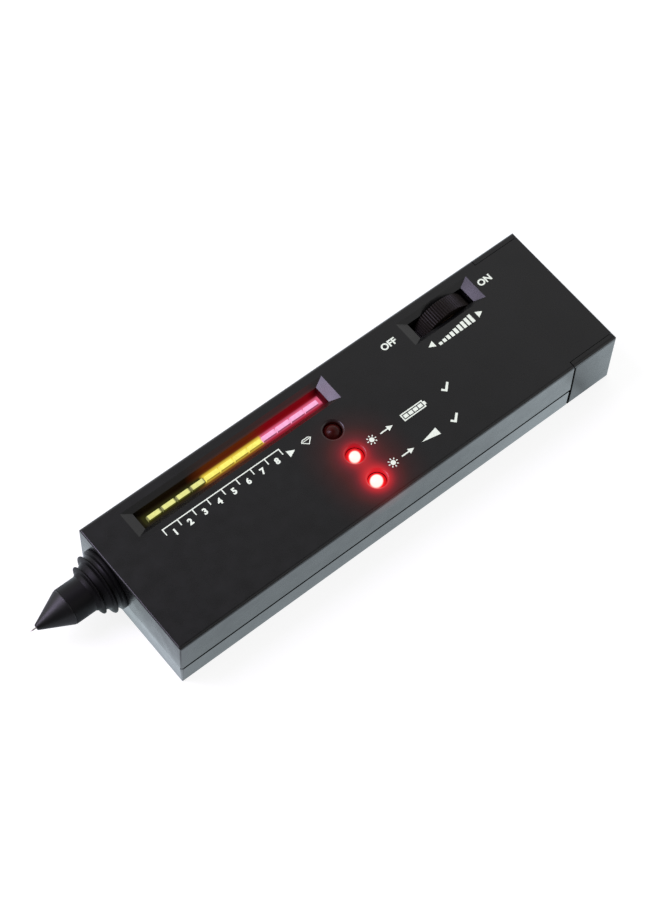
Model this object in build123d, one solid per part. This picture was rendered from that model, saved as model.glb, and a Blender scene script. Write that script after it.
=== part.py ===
"""Handheld diamond tester: a flat two-part case with a light bar, three lamps, a volume
thumbwheel and a sprung heated needle in a ringed nose. Millimetres, +Z up. The origin is under
the middle of the whole tester, the nose points to -X and the thumbwheel is on the +Y side."""
from build123d import *
from math import radians, sqrt, tan
import os

# Moulded case
side_wall = 2.0
deck_wall = 1.3
floor_wall = 1.2
seam_height = 8.0
deck_edge_round = 1.0
floor_edge_round = 0.5
corner_round = 0.8
end_edge_round = 0.4
wall_draft = 0.1
seam_groove_height = 0.4
seam_groove_depth = 0.5
lip_height = 1.2
lip_wall = 0.8
lip_root = 1.5
lip_gap = 0.1
overrun = 1.0

# Nine volt battery, its studs and the snap on them
battery_length = 46.4
battery_width = 26.0
battery_depth = 16.6
battery_lift = 0.2
battery_headroom = 0.7
battery_side_gap = 0.3
battery_tab_gap = 0.25
battery_round = 2.0
stud_spacing = 12.7
stud_height = 2.1
male_stud_radius = 2.85
female_stud_radius = 4.2
snap_inset = 0.5
snap_depth = 12.0
snap_back = 0.9
snap_fit = 0.05
snap_gap = 0.3
snap_corner = 1.5

# Battery cover that slides off the rear end
cover_length = 14.9
cover_gap = 0.25
cover_slip = 0.15
cover_reveal = 0.5
tab_wall = 1.0
tab_reach = 6.0
tab_root = 4.0
tab_height = 10.0
tab_lift = 2.5
foam_depth = 1.0
foam_width = 20.0
foam_height = 10.0
foam_gap = 0.2
grip_groove_width = 0.8
grip_groove_depth = 0.4
grip_groove_spacing = 1.9
grip_groove_length = 18.0
grip_groove_count = 5

# Volume thumbwheel and its potentiometer
wheel_floor_gap = 1.9
wheel_width = 4.8
wheel_rise = 1.1
wheel_web = 1.5
wheel_hub_radius = 2.6
wheel_side_gap = 0.3
wheel_rib_count = 72
wheel_rib_depth = 0.32
wheel_rib_groove_width = 0.48
wheel_end_gap = 1.55
wheel_window_shift = 1.0
pot_radius = 6.0
pot_depth = 5.35
pot_seat_gap = 0.15
pot_nest_gap = 0.7
pot_hub_gap = 0.3
spindle_radius = 1.5
spindle_fit = 0.05
spindle_end_gap = 0.6
wheel_screw_head_radius = 1.6
wheel_screw_head_height = 0.6
wheel_screw_radius = 0.6
wheel_screw_length = 3.0
screw_slot_width = 0.5
screw_slot_depth = 0.35
pot_tag_width = 1.2
pot_tag_wall = 0.5
pot_tag_inset = 0.6
pot_tag_length = 2.6
pot_tag_spacing = 2.5
cradle_width = 11.0
cradle_wall = 1.0
cradle_rise = 8.0
far_side_gap = 2.9

# Deck windows, funnel-shaped, with a well under each
display_start = 10.9
side_bevel = 1.45
end_bevel = 2.9
bevel_depth = 1.2
well_depth = 3.4
well_wall = 1.0

# Light bar of twelve lit segments in three colours
segment_count = 12
colour_count = 4
segment_spacing = 4.68
segment_width = 1.4
segment_gap = 0.3
segment_sink = 2.9
segment_chamfer = 0.15
bar_front_gap = 2.4
bar_rear_gap = 1.6
holder_end_wall = 1.0
holder_width = 5.0
holder_sink = 0.8
holder_slot_gap = 0.05

# Three round lamps in the deck
lamp_radius = 2.5
lamp_rise = 0.3
lamp_spacer_height = 0.8
lamp_spacer_side = 4.6
lamp_flange_radius = 2.9
lamp_flange_height = 1.0
lamp_hole_gap = 0.1
lamp_hole_chamfer = 0.4
lamp_setback = 4.96
lamp_window_gap = 6.25
lamp_wall_gap = 4.9
lamp_count = 3

# Circuit board and what it carries
board_wall = 1.6
board_post_length = 7.8
board_nose_gap = 8.9
board_rear_gap = 1.0
board_tail = 17.24
board_side_gap = 0.3
board_notch_gap = 0.3
board_post_radius = 2.1
board_lamp_gap = 0.5
front_post_place_shares = [(0.10, 0.50), (0.67, 0.10)]
rear_post_place_share = (0.69, 0.82)
board_screw_radius = 0.95
board_screw_length = 5.0
board_screw_head_radius = 1.8
board_screw_head_height = 1.1
board_hole_gap = 0.1
chip_width = 6.4
chip_height = 3.3
chip_standoff = 0.5
chip_leg_spacing = 2.54
chip_leg_wall = 0.3
chip_leg_width = 0.6
chip_notch_radius = 0.9
chip_notch_depth = 0.6
chip_leg_counts = (9, 7)
chip_place_shares = [(0.49, 0.62), (0.435, 0.36)]
capacitor_radius = 2.5
capacitor_height = 6.6
capacitor_gap = 1.5
resistor_radius = 1.0
resistor_length = 6.0
resistor_span = 8.4
resistor_leg_size = 0.5
resistor_lift = 0.3
resistor_count = 6
resistor_spacing = 3.2
resistor_chip_gap = 0.7
trimmer_size = 6.4
trimmer_height = 4.4
trimmer_screw_radius = 1.5
trimmer_screw_height = 0.5
trimmer_place_shares = [(0.39, 0.32), (0.39, 0.12)]
buzzer_radius = 6.0
buzzer_height = 6.4
buzzer_hole_radius = 1.0
buzzer_hole_depth = 2.0
buzzer_place_share = (0.39, 0.60)
transistor_radius = 2.3
transistor_flat = 1.2
transistor_height = 4.4
transistor_lift = 2.0
transistor_leg_size = 0.45
transistor_leg_spacing = 1.27
transistor_place_shares = [(0.90, 0.20), (0.90, 0.40)]

# Screws, columns and bosses that close the case
boss_radius = 2.4
boss_side_inset = 6.4
front_boss_inset = 11.0
rear_boss_inset = 3.9
boss_wheel_gap = 0.4
boss_wall_gap = 0.6
column_radius = 3.2
case_screw_radius = 1.2
case_screw_length = 9.5
case_screw_head_radius = 2.0
case_screw_head_height = 1.4
case_screw_recess = 3.0
case_screw_gap = 0.2
pilot_gap = 0.05
pilot_end_gap = 1.0
cross_slot_width = 0.5
cross_slot_length = 2.4
cross_slot_depth = 0.7

# Walls of the battery bay
bay_wall = 0.9
bay_cross_wall = 1.2
bay_headroom = 0.3
lead_notch_width = 5.0
lead_notch_depth = 4.6

# Nose: ringed collar, glossy cone and the sprung needle
probe_reach = 24.0
probe_inset = 11.5
flange_radius = 8.9
ringed_length = 7.0
ring_outline_shares = [
    (0.0, 1.0), (0.13, 1.0), (0.19, 0.90), (0.33, 0.88), (0.39, 0.97), (0.435, 0.97),
    (0.48, 0.81), (0.53, 0.78), (0.70, 0.71), (0.76, 0.80), (0.80, 0.80), (0.85, 0.65),
]
neck_radius = 5.2
neck_length = 6.0
shank_radius = 5.4
shank_length = 6.0
shank_gap = 0.05
collar_bore_radius = 2.5
socket_radius = 3.8
socket_depth = 4.2
socket_gap = 0.05
spigot_length = 4.0
nut_flats = 12.8
nut_thickness = 3.4
nut_gap = 0.05
cone_length = 9.2
cone_base_radius = 5.1
cone_tip_radius = 0.8
cone_shoulder = 0.35
cone_bore_radius = 0.27
chamber_radius = 1.6
chamber_start = 3.7
needle_radius = 0.2
needle_point_radius = 0.07
needle_point_length = 0.7
plunger_radius = 1.4
plunger_length = 1.2
plunger_gap = 0.1
plunger_rod_radius = 0.5
seat_length = 1.4
seat_gap = 0.05
seat_bore_gap = 0.1
seat_spigot_gap = 0.4
heater_radius = 1.2
heater_length = 3.0
rod_tail = 1.0
spring_wall = 0.35
spring_gap = 0.15

# Leads, drawn with few flats
lead_side_count = 6
lead_radius = 0.45
lead_bend_share = 0.45
lead_spacing = 1.6
lead_board_reach = 6.0
lead_tip_gap = 0.05
probe_lead_radius = 0.35
probe_lead_gap = 0.15
probe_lead_rise = 2.4
probe_lead_ramp = 1.3
probe_lead_step = 1.5
probe_lead_reach = 4.5
pot_lead_spacing = 1.0
pot_lead_drop = 2.6
pot_lead_reach = 8.0

# Across the case, near side to far side: wall, cover tab, battery, bay wall, wheel, wall
near_stack = side_wall + cover_slip + tab_wall + battery_tab_gap
case_width = (
    near_stack + battery_width + battery_side_gap + bay_wall + pot_seat_gap
    + pot_depth + pot_hub_gap + wheel_web + far_side_gap + side_wall
)
half_width = case_width / 2
inner_half = half_width - side_wall
battery_near = -half_width + near_stack
battery_far = battery_near + battery_width
bay_wall_near = battery_far + battery_side_gap
bay_wall_far = bay_wall_near + bay_wall
pot_near = bay_wall_far + pot_seat_gap
pot_far = pot_near + pot_depth
wheel_far = pot_far + pot_hub_gap + wheel_web
wheel_near = wheel_far - wheel_width
window_y = (wheel_near + wheel_far) / 2
window_width = wheel_width + 2 * wheel_side_gap

# Up through the case: floor, battery, deck
case_height = floor_wall + battery_lift + battery_depth + battery_headroom + deck_wall
deck_under = case_height - deck_wall
battery_floor = floor_wall + battery_lift
battery_mid_z = battery_floor + battery_depth / 2
board_top = deck_under - board_post_length
board_under = board_top - board_wall
bevel_floor = case_height - bevel_depth
well_floor = case_height - well_depth
wheel_radius = (case_height + wheel_rise - floor_wall - wheel_floor_gap) / 2
wheel_z = case_height + wheel_rise - wheel_radius
lamp_base = board_top + lamp_spacer_height

# Along the case, from the nose to the rear end: display, board's tail, bay wall, battery, foam
bar_length = segment_count * segment_spacing
display_stack = display_start + end_bevel + bar_front_gap + bar_length + bar_rear_gap
snap_stack = bay_cross_wall + snap_gap + snap_back + stud_height
battery_stack = battery_length + foam_gap + foam_depth + side_wall
case_length = display_stack + board_tail + board_rear_gap + snap_stack + battery_stack
front = probe_reach - (case_length + probe_reach) / 2
rear = front + case_length
cover_front = rear - cover_length
battery_rear = rear - side_wall - foam_depth - foam_gap
battery_front = battery_rear - battery_length
snap_front = battery_front - stud_height - snap_back
cross_wall_rear = snap_front - snap_gap
cross_wall_front = cross_wall_rear - bay_cross_wall
board_front = front + board_nose_gap
board_rear = cross_wall_front - board_rear_gap
board_half = inner_half - lip_gap - lip_wall - board_side_gap
far_rear_boss_x = cover_front - rear_boss_inset
wheel_x = far_rear_boss_x - boss_radius - boss_wheel_gap - wheel_radius
wheel_chord = sqrt(wheel_radius**2 - (well_floor - wheel_z) ** 2)
wheel_window_mid = wheel_x - wheel_window_shift
wheel_window_half = wheel_chord + wheel_end_gap
display_inner_start = front + display_start + end_bevel
bar_start = display_inner_start + bar_front_gap
display_inner_end = bar_start + bar_length + bar_rear_gap
lamp_x = display_inner_end - lamp_setback
first_lamp_y = window_y - window_width / 2 - side_bevel - lamp_window_gap
lamp_spacing = (first_lamp_y + inner_half - lamp_wall_gap) / (lamp_count - 1)
lamp_ys = [first_lamp_y - i * lamp_spacing for i in range(lamp_count)]
boss_y = half_width - boss_side_inset
near_rear_boss_x = cross_wall_front - boss_wall_gap - boss_radius
boss_places = [
    (front + front_boss_inset, -boss_y), (front + front_boss_inset, boss_y),
    (near_rear_boss_x, -boss_y), (far_rear_boss_x, boss_y),
]

# The nose's axis and the places along it
probe_y = half_width - probe_inset
probe_z = case_height / 2
neck_end = front - ringed_length - neck_length
cone_tip = neck_end - cone_length
needle_tip = front - probe_reach
chamber_front = cone_tip + chamber_start
plunger_front = chamber_front + plunger_gap
plunger_back = plunger_front + plunger_length
spigot_end = neck_end + spigot_length
seat_back = spigot_end - seat_spigot_gap
seat_front = seat_back - seat_length
rod_end = spigot_end + rod_tail
heater_end = rod_end + heater_length


def block(x0, x1, y0, y1, z0, z1):
    """A box between two opposite corners."""
    middle = Pos((x0 + x1) / 2, (y0 + y1) / 2, (z0 + z1) / 2)
    return middle * Box(x1 - x0, y1 - y0, z1 - z0)


def post(x, y, z0, z1, radius):
    """An upright round post."""
    return Pos(x, y, (z0 + z1) / 2) * Cylinder(radius, z1 - z0)


def axle(x, z, y0, y1, radius):
    """A round bar across the case."""
    return Pos(x, (y0 + y1) / 2, z) * Rot(X=-90) * Cylinder(radius, y1 - y0)


def turned(points):
    """A solid turned about the nose's axis from points of x and radius."""
    outline = make_face(Polyline(*points, close=True))
    return Pos(0, probe_y, probe_z) * revolve(outline, Axis.X)


def front_place(shares):
    """A place on the board ahead of the lamps, from shares of that stretch and of its width."""
    end = lamp_x - lamp_flange_radius - board_lamp_gap
    x = board_front + shares[0] * (end - board_front)
    return x, -board_half + shares[1] * 2 * board_half


def rear_place(shares):
    """A place on the board behind the lamps, from shares of that stretch and of its width."""
    start = lamp_x + lamp_flange_radius + board_lamp_gap
    x = start + shares[0] * (board_rear - start)
    return x, -board_half + shares[1] * 2 * board_half


def post_places():
    """Where the board's three posts stand."""
    return [front_place(shares) for shares in front_post_place_shares] + [
        rear_place(rear_post_place_share)
    ]


def chip_places():
    """Middle of each chip, with half of its length and the number of its legs on one side."""
    for shares, count in zip(chip_place_shares, chip_leg_counts):
        x, y = front_place(shares)
        yield x, y, count * chip_leg_spacing / 2, count


def lead(points, radius):
    """A lead along straight runs, joined by arcs as large as the runs allow."""
    corners = [Vector(*p) for p in points]
    bends = []
    for a, b, c in zip(corners, corners[1:], corners[2:]):
        half_turn = radians((b - a).get_angle(c - b) / 2)
        shorter = min((b - a).length, (c - b).length)
        bends.append(lead_bend_share * shorter / tan(half_turn))
    path = FilletPolyline(*points, radius=bends)
    section = Plane(origin=path @ 0, z_dir=path % 0) * RegularPolygon(radius, lead_side_count)
    return sweep(section, path=path)


def group(solids):
    """Several separate solids kept in one node."""
    return Compound(children=list(solids))


def case_form():
    """Outer form of the closed case, with drafted walls and rounded edges."""
    drafted = half_width - wall_draft
    section = make_face(Polyline(
        (-drafted, 0), (drafted, 0), (half_width, seam_height), (drafted, case_height),
        (-drafted, case_height), (-half_width, seam_height), close=True,
    ))
    section = fillet(section.vertices().group_by(Axis.Y)[-1], deck_edge_round)
    section = fillet(section.vertices().group_by(Axis.Y)[0], floor_edge_round)
    bar = extrude(Plane.YZ.offset(front) * section, case_length, dir=(1, 0, 0))
    profile = make_face(Polyline(
        (front + wall_draft, 0), (rear - wall_draft, 0), (rear, seam_height),
        (rear - wall_draft, case_height), (front + wall_draft, case_height), (front, seam_height),
        close=True,
    ))
    ends = profile.vertices().group_by(Axis.Y)
    profile = fillet(ends[0] + ends[-1], end_edge_round)
    side = extrude(Plane.XZ * profile, case_width, both=True)
    plan = Pos((front + rear) / 2, 0, 0) * RectangleRounded(case_length, case_width, corner_round)
    return bar & side & extrude(plan, case_height)


def window_cut(x0, x1):
    """Funnel-shaped opening through the deck and the shaft of its well."""
    middle = (x0 + x1) / 2
    length = x1 - x0
    lower = Pos(middle, window_y, bevel_floor) * Rectangle(length, window_width)
    upper = Pos(middle, window_y, case_height) * Rectangle(
        length + 2 * end_bevel, window_width + 2 * side_bevel
    )
    funnel = loft([lower.face(), upper.face()], ruled=True)
    half = window_width / 2
    shaft = block(x0, x1, window_y - half, window_y + half, well_floor - overrun, case_height)
    return funnel + shaft


def well(x0, x1):
    """Wall that hangs from the deck around a window."""
    half = window_width / 2 + well_wall
    return block(
        x0 - well_wall, x1 + well_wall, window_y - half, window_y + half, well_floor, deck_under
    )


def lamp_hole(y):
    """Hole in the deck for a lamp, with a chamfered rim."""
    radius = lamp_radius + lamp_hole_gap
    rim = Pos(lamp_x, y, case_height - lamp_hole_chamfer / 2) * Cone(
        radius, radius + lamp_hole_chamfer, lamp_hole_chamfer
    )
    return post(lamp_x, y, deck_under - overrun, case_height, radius) + rim


def top_shell():
    """Deck and upper walls, with windows, wells, lamp holes, screw bosses and board posts.
    Behind the side walls the deck runs on as a tongue between the sides of the cover."""
    form = case_form()
    upper = form & block(front, cover_front - cover_gap, -half_width, half_width,
                         seam_height, case_height)
    upper -= block(front + side_wall, rear, -inner_half, inner_half, -overrun, deck_under)
    tongue_half = inner_half - cover_slip
    tongue = form & block(cover_front - cover_length, rear, -tongue_half, tongue_half,
                          deck_under, case_height)
    shell = upper + tongue
    display = (display_inner_start, display_inner_end)
    thumb = (wheel_window_mid - wheel_window_half, wheel_window_mid + wheel_window_half)
    shell += well(*display) + well(*thumb)
    for x, y in boss_places:
        shell += post(x, y, seam_height, deck_under, boss_radius)
        pilot_end = case_screw_recess + case_screw_length + pilot_end_gap
        shell -= post(x, y, seam_height, pilot_end, case_screw_radius + pilot_gap)
    for x, y in post_places():
        shell += post(x, y, board_top, deck_under, board_post_radius)
        shell -= post(x, y, board_top, board_top + board_screw_length,
                      board_screw_radius + pilot_gap)
    shell -= window_cut(*display) + window_cut(*thumb)
    shell -= axle(wheel_x, wheel_z, bay_wall_far, pot_far, pot_radius + pot_nest_gap)
    for y in lamp_ys:
        shell -= lamp_hole(y)
    return shell - collar_hole()


def collar_hole():
    """Hole in the front wall for the nose's shank, half of it in each shell."""
    radius = shank_radius + shank_gap
    return turned([
        (front - overrun, 0), (front - overrun, radius),
        (front + side_wall + overrun, radius), (front + side_wall + overrun, 0),
    ])


def lip(side):
    """Rib along a long wall that locates the upper shell from inside."""
    x0 = front + front_boss_inset
    x1 = cover_front - tab_reach - overrun
    outer = inner_half - lip_gap
    inner = outer - lip_wall
    blade = block(x0, x1, inner, outer, seam_height - lip_root, seam_height + lip_height)
    root = block(x0, x1, inner, inner_half + lip_wall, seam_height - lip_root,
                 seam_height - seam_groove_height)
    rib = blade + root
    return rib if side > 0 else mirror(rib, Plane.XZ)


def bay_walls():
    """Cross wall and long wall of the battery bay, with a notch for the battery's leads."""
    top = deck_under - bay_headroom
    near = -inner_half + lip_gap * 2
    cross = block(cross_wall_front, cross_wall_rear, near, bay_wall_far, floor_wall / 2, top)
    notch_half = lead_notch_width / 2
    mid = (battery_near + battery_far) / 2
    cross -= block(cross_wall_front - overrun, cross_wall_rear + overrun,
                   mid - notch_half, mid + notch_half, top - lead_notch_depth, top + overrun)
    long_wall = block(cross_wall_front, cover_front - cover_reveal, bay_wall_near, bay_wall_far,
                      floor_wall / 2, top)
    return cross + long_wall


def pot_cradle():
    """Saddle beside the bay wall that carries the potentiometer."""
    half = cradle_width / 2
    far = pot_near + cradle_wall
    saddle = block(wheel_x - half, wheel_x + half, bay_wall_far - bay_wall / 2, far,
                   floor_wall / 2, cradle_rise)
    saddle -= axle(wheel_x, wheel_z, pot_near - overrun, far + overrun, pot_radius)
    gap = pot_tag_spacing + pot_tag_width
    saddle -= block(wheel_x - gap, wheel_x + gap, pot_near, far + overrun,
                    floor_wall, cradle_rise)
    return saddle


def bottom_shell():
    """Floor and lower walls, with the seam groove, screw columns, lips and battery bay."""
    end = cover_front - cover_reveal
    shell = case_form() & block(front, end, -half_width, half_width, 0, seam_height)
    shell -= block(front + side_wall, rear, -inner_half, inner_half, floor_wall,
                   seam_height + overrun)
    groove_z = seam_height - seam_groove_height
    for side in (-1, 1):
        y0, y1 = sorted((side * (half_width - seam_groove_depth), side * (half_width + overrun)))
        shell -= block(front - overrun, rear, y0, y1, groove_z, seam_height + overrun)
        shell += lip(side)
    for x, y in boss_places:
        shell += post(x, y, 0, seam_height, column_radius)
        shell -= post(x, y, -overrun, case_screw_recess, case_screw_head_radius + case_screw_gap)
        shell -= post(x, y, 0, seam_height + overrun, case_screw_radius + case_screw_gap)
    shell += bay_walls() + pot_cradle()
    return shell - collar_hole()


def screw_head(x, y, z0, z1, radius):
    """Pan head with a cross slot, seen from below."""
    head = post(x, y, z0, z1, radius)
    long_half = cross_slot_length / 2
    thin_half = cross_slot_width / 2
    for a, b in ((long_half, thin_half), (thin_half, long_half)):
        head -= block(x - a, x + a, y - b, y + b, z0 - overrun, z0 + cross_slot_depth)
    return head


def case_screws():
    """Four screws driven up from the floor into the bosses."""
    bottom = case_screw_recess - case_screw_head_height
    return group(
        screw_head(x, y, bottom, case_screw_recess, case_screw_head_radius)
        + post(x, y, case_screw_recess, case_screw_recess + case_screw_length, case_screw_radius)
        for x, y in boss_places
    )


def battery_cover():
    """Rear end of the case: floor, end wall and sides that reach the deck, with two tabs that
    slide inside the side walls and finger grooves underneath."""
    end = deck_under - cover_slip
    cover = case_form() & block(cover_front, rear, -half_width, half_width, 0, case_height)
    cover -= block(cover_front - overrun, rear - side_wall, -inner_half, inner_half,
                   floor_wall, case_height + overrun)
    cover -= block(cover_front, rear + overrun, -inner_half, inner_half, end,
                   case_height + overrun)
    tab_floor = floor_wall + tab_lift
    for side in (-1, 1):
        outer = inner_half - cover_slip
        inner = outer - tab_wall
        y0, y1 = sorted((side * inner, side * outer))
        cover += block(cover_front - tab_reach, cover_front + tab_root, y0, y1,
                       tab_floor, tab_floor + tab_height)
        y0, y1 = sorted((side * inner, side * (inner_half + side_wall / 2)))
        cover += block(cover_front, cover_front + tab_root, y0, y1,
                       tab_floor, tab_floor + tab_height)
    mid = (cover_front + rear) / 2
    first = mid - grip_groove_spacing * (grip_groove_count - 1) / 2
    for i in range(grip_groove_count):
        x = first + i * grip_groove_spacing
        half_x = grip_groove_width / 2
        half_y = grip_groove_length / 2
        cover -= block(x - half_x, x + half_x, -half_y, half_y, -overrun, grip_groove_depth)
    return cover


def cover_foam():
    """Foam pad on the cover's end wall that steadies the battery."""
    mid_y = (battery_near + battery_far) / 2
    half_y = foam_width / 2
    half_z = foam_height / 2
    return block(rear - side_wall - foam_depth, rear - side_wall, mid_y - half_y, mid_y + half_y,
                 battery_mid_z - half_z, battery_mid_z + half_z)


def battery():
    """Battery can with rounded long edges."""
    can = block(battery_front, battery_rear, battery_near, battery_far,
                battery_floor, battery_floor + battery_depth)
    return fillet(can.edges().filter_by(Axis.X), battery_round)


def stud_ys():
    """Where the female and the male stud stand across the battery's end."""
    mid = (battery_near + battery_far) / 2
    return mid - stud_spacing / 2, mid + stud_spacing / 2


def stud(y, radius, length):
    """A round stud that stands out of the battery's front end."""
    middle = Pos(battery_front - length / 2, y, battery_mid_z)
    return middle * Rot(Y=90) * Cylinder(radius, length)


def battery_studs():
    """Female and male snap studs."""
    female_y, male_y = stud_ys()
    return group([
        stud(female_y, female_stud_radius, stud_height), stud(male_y, male_stud_radius, stud_height)
    ])


def battery_snap():
    """Snap connector pushed over the battery's studs."""
    mid_y = (battery_near + battery_far) / 2
    half_y = battery_width / 2 - snap_inset
    half_z = snap_depth / 2
    snap = block(snap_front, battery_front - snap_fit, mid_y - half_y, mid_y + half_y,
                 battery_mid_z - half_z, battery_mid_z + half_z)
    snap = fillet(snap.edges().filter_by(Axis.X), snap_corner)
    for y, radius in zip(stud_ys(), (female_stud_radius, male_stud_radius)):
        snap -= stud(y, radius + snap_fit, stud_height + snap_fit)
    return snap


def battery_leads():
    """Two leads from the snap, over the cross wall and down to the board."""
    mid = (battery_near + battery_far) / 2
    z = battery_mid_z + snap_depth / 2 - snap_back
    x1 = board_rear - lead_board_reach
    return group(
        lead([(snap_front - lead_tip_gap, y, z), (x1, y, z), (x1, y, board_top + lead_tip_gap)],
             lead_radius)
        for y in (mid - lead_spacing / 2, mid + lead_spacing / 2)
    )


def thumb_wheel():
    """Cup-shaped wheel with a finely ribbed rim that turns round the potentiometer."""
    cup = pot_radius + pot_nest_gap
    wheel = axle(wheel_x, wheel_z, wheel_near, wheel_far, wheel_radius)
    wheel -= axle(wheel_x, wheel_z, wheel_near - overrun, wheel_far - wheel_web, cup)
    wheel += axle(wheel_x, wheel_z, pot_far + pot_hub_gap / 2, wheel_far, wheel_hub_radius)
    wheel -= axle(wheel_x, wheel_z, wheel_near, wheel_far + overrun, spindle_radius)
    half = wheel_rib_groove_width / 2
    notch = make_face(Polyline(
        (wheel_radius - wheel_rib_depth, 0), (wheel_radius + wheel_rib_depth, half * 2),
        (wheel_radius + wheel_rib_depth, -half * 2), close=True,
    ))
    notches = PolarLocations(0, wheel_rib_count) * notch
    grooves = extrude(Sketch() + notches, wheel_width + 2 * overrun)
    return wheel - Pos(wheel_x, wheel_near - overrun, wheel_z) * Rot(X=-90) * grooves


def pot_spindle():
    """Spindle that carries the wheel, with a hole for its screw."""
    start = pot_near + spindle_end_gap
    end = wheel_far - spindle_end_gap / 2
    spindle = axle(wheel_x, wheel_z, start, end, spindle_radius - spindle_fit / 2)
    return spindle - axle(wheel_x, wheel_z, wheel_far - wheel_screw_length - spindle_fit,
                          wheel_far, wheel_screw_radius + spindle_fit)


def wheel_screw():
    """Slotted screw that holds the wheel on its spindle."""
    head = axle(wheel_x, wheel_z, wheel_far, wheel_far + wheel_screw_head_height,
                wheel_screw_head_radius)
    half = screw_slot_width / 2
    head -= block(wheel_x - wheel_screw_head_radius, wheel_x + wheel_screw_head_radius,
                  wheel_far + wheel_screw_head_height - screw_slot_depth,
                  wheel_far + wheel_screw_head_height, wheel_z - half, wheel_z + half)
    return head + axle(wheel_x, wheel_z, wheel_far - wheel_screw_length, wheel_far,
                       wheel_screw_radius)


def volume_pot():
    """Round potentiometer with three solder tags, inside the cup of the wheel."""
    pot = axle(wheel_x, wheel_z, pot_near, pot_far, pot_radius)
    top = wheel_z - pot_radius + pot_tag_wall
    near = pot_near + pot_tag_inset
    for i in (-1, 0, 1):
        x = wheel_x + i * pot_tag_spacing
        half = pot_tag_width / 2
        pot += block(x - half, x + half, near, near + pot_tag_wall,
                     wheel_z - pot_radius - pot_tag_length, top)
    return pot - axle(wheel_x, wheel_z, pot_near + spindle_end_gap / 2, pot_far + overrun,
                      spindle_radius + spindle_fit / 2)


def main_board():
    """Circuit board that hangs from the deck's posts, notched round the bosses."""
    board = block(board_front, board_rear, -board_half, board_half, board_under, board_top)
    half = column_radius + board_notch_gap
    for x, y in boss_places:
        board -= block(x - half, x + half, y - half, y + half, board_under - overrun,
                       board_top + overrun)
    for x, y in post_places():
        board -= post(x, y, board_under - overrun, board_top + overrun,
                      board_screw_radius + board_hole_gap)
    return board


def board_screws():
    """Screws that hold the board up against its posts."""
    bottom = board_under - board_screw_head_height
    screws = []
    for x, y in post_places():
        head = screw_head(x, y, bottom, board_under, board_screw_head_radius)
        screws.append(head + post(x, y, board_under, board_under + board_screw_length,
                                  board_screw_radius))
    return group(screws)


def light_holder():
    """Black holder on the board with a slot for each segment of the light bar."""
    top = case_height - segment_sink - holder_sink
    half = holder_width / 2
    holder = block(bar_start - holder_end_wall, bar_start + bar_length + holder_end_wall,
                   window_y - half, window_y + half, board_top, top)
    slot_half = segment_width / 2 + holder_slot_gap
    for i in range(segment_count):
        x0, x1 = segment_span(i)
        holder -= block(x0 - holder_slot_gap, x1 + holder_slot_gap, window_y - slot_half,
                        window_y + slot_half, board_top - overrun, top + overrun)
    return holder


def segment_span(index):
    """Ends of one segment along the bar."""
    start = bar_start + index * segment_spacing
    return start + segment_gap / 2, start + segment_spacing - segment_gap / 2


def light_segments(first, last):
    """Segments of one colour, each a flat light guide with softened top edges."""
    half = segment_width / 2
    guides = []
    for i in range(first, last):
        x0, x1 = segment_span(i)
        guide = block(x0, x1, window_y - half, window_y + half, board_top,
                      case_height - segment_sink)
        guides.append(chamfer(guide.edges().group_by(Axis.Z)[-1], segment_chamfer))
    return group(guides)


def lamp(y):
    """Five millimetre lamp: flange, barrel and dome."""
    top = case_height + lamp_rise
    bottom = lamp_base
    outline = make_face(
        Line((0, bottom), (lamp_flange_radius, bottom))
        + Line((lamp_flange_radius, bottom), (lamp_flange_radius, bottom + lamp_flange_height))
        + Line((lamp_flange_radius, bottom + lamp_flange_height),
               (lamp_radius, bottom + lamp_flange_height))
        + Line((lamp_radius, bottom + lamp_flange_height), (lamp_radius, top - lamp_radius))
        + RadiusArc((lamp_radius, top - lamp_radius), (0, top), -lamp_radius)
        + Line((0, top), (0, bottom))
    )
    return Pos(lamp_x, y, 0) * revolve(Plane.XZ * outline, Axis.Z)


def lamp_spacers():
    """Square spacer under each lamp that sets its height above the board."""
    half = lamp_spacer_side / 2
    return group(
        block(lamp_x - half, lamp_x + half, y - half, y + half, board_top, lamp_base)
        for y in lamp_ys
    )


def chips():
    """The two dual in-line chips of the circuit."""
    bodies = []
    for x, y, half, _ in chip_places():
        z = board_top + chip_standoff
        body = block(x - half, x + half, y - chip_width / 2, y + chip_width / 2,
                     z, z + chip_height)
        bodies.append(body - post(x - half, y, z + chip_height - chip_notch_depth,
                                  z + chip_height + overrun, chip_notch_radius))
    return group(bodies)


def chip_legs():
    """Bent legs along both sides of each chip, standing on the board."""
    legs = []
    for x, y, half, count in chip_places():
        first = x - half + chip_leg_spacing / 2
        knee = board_top + chip_standoff + chip_height / 2
        for i in range(count):
            x0 = first + i * chip_leg_spacing - chip_leg_width / 2
            for side in (-1, 1):
                y0, y1 = sorted((y + side * chip_width / 2,
                                 y + side * (chip_width / 2 + chip_leg_wall)))
                legs.append(block(x0, x0 + chip_leg_width, y0, y1, board_top, knee))
    return group(legs)


def capacitors():
    """Upright electrolytic capacitors at the ends of the chips."""
    (x1, y1, half1, _), (x2, y2, half2, _) = chip_places()
    reach = capacitor_gap + capacitor_radius
    places = [(x1 - half1 - reach, y1), (x1 + half1 + reach, y1), (x2 + half2 + reach, y2)]
    return group(
        post(x, y, board_top, board_top + capacitor_height, capacitor_radius) for x, y in places
    )


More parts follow.
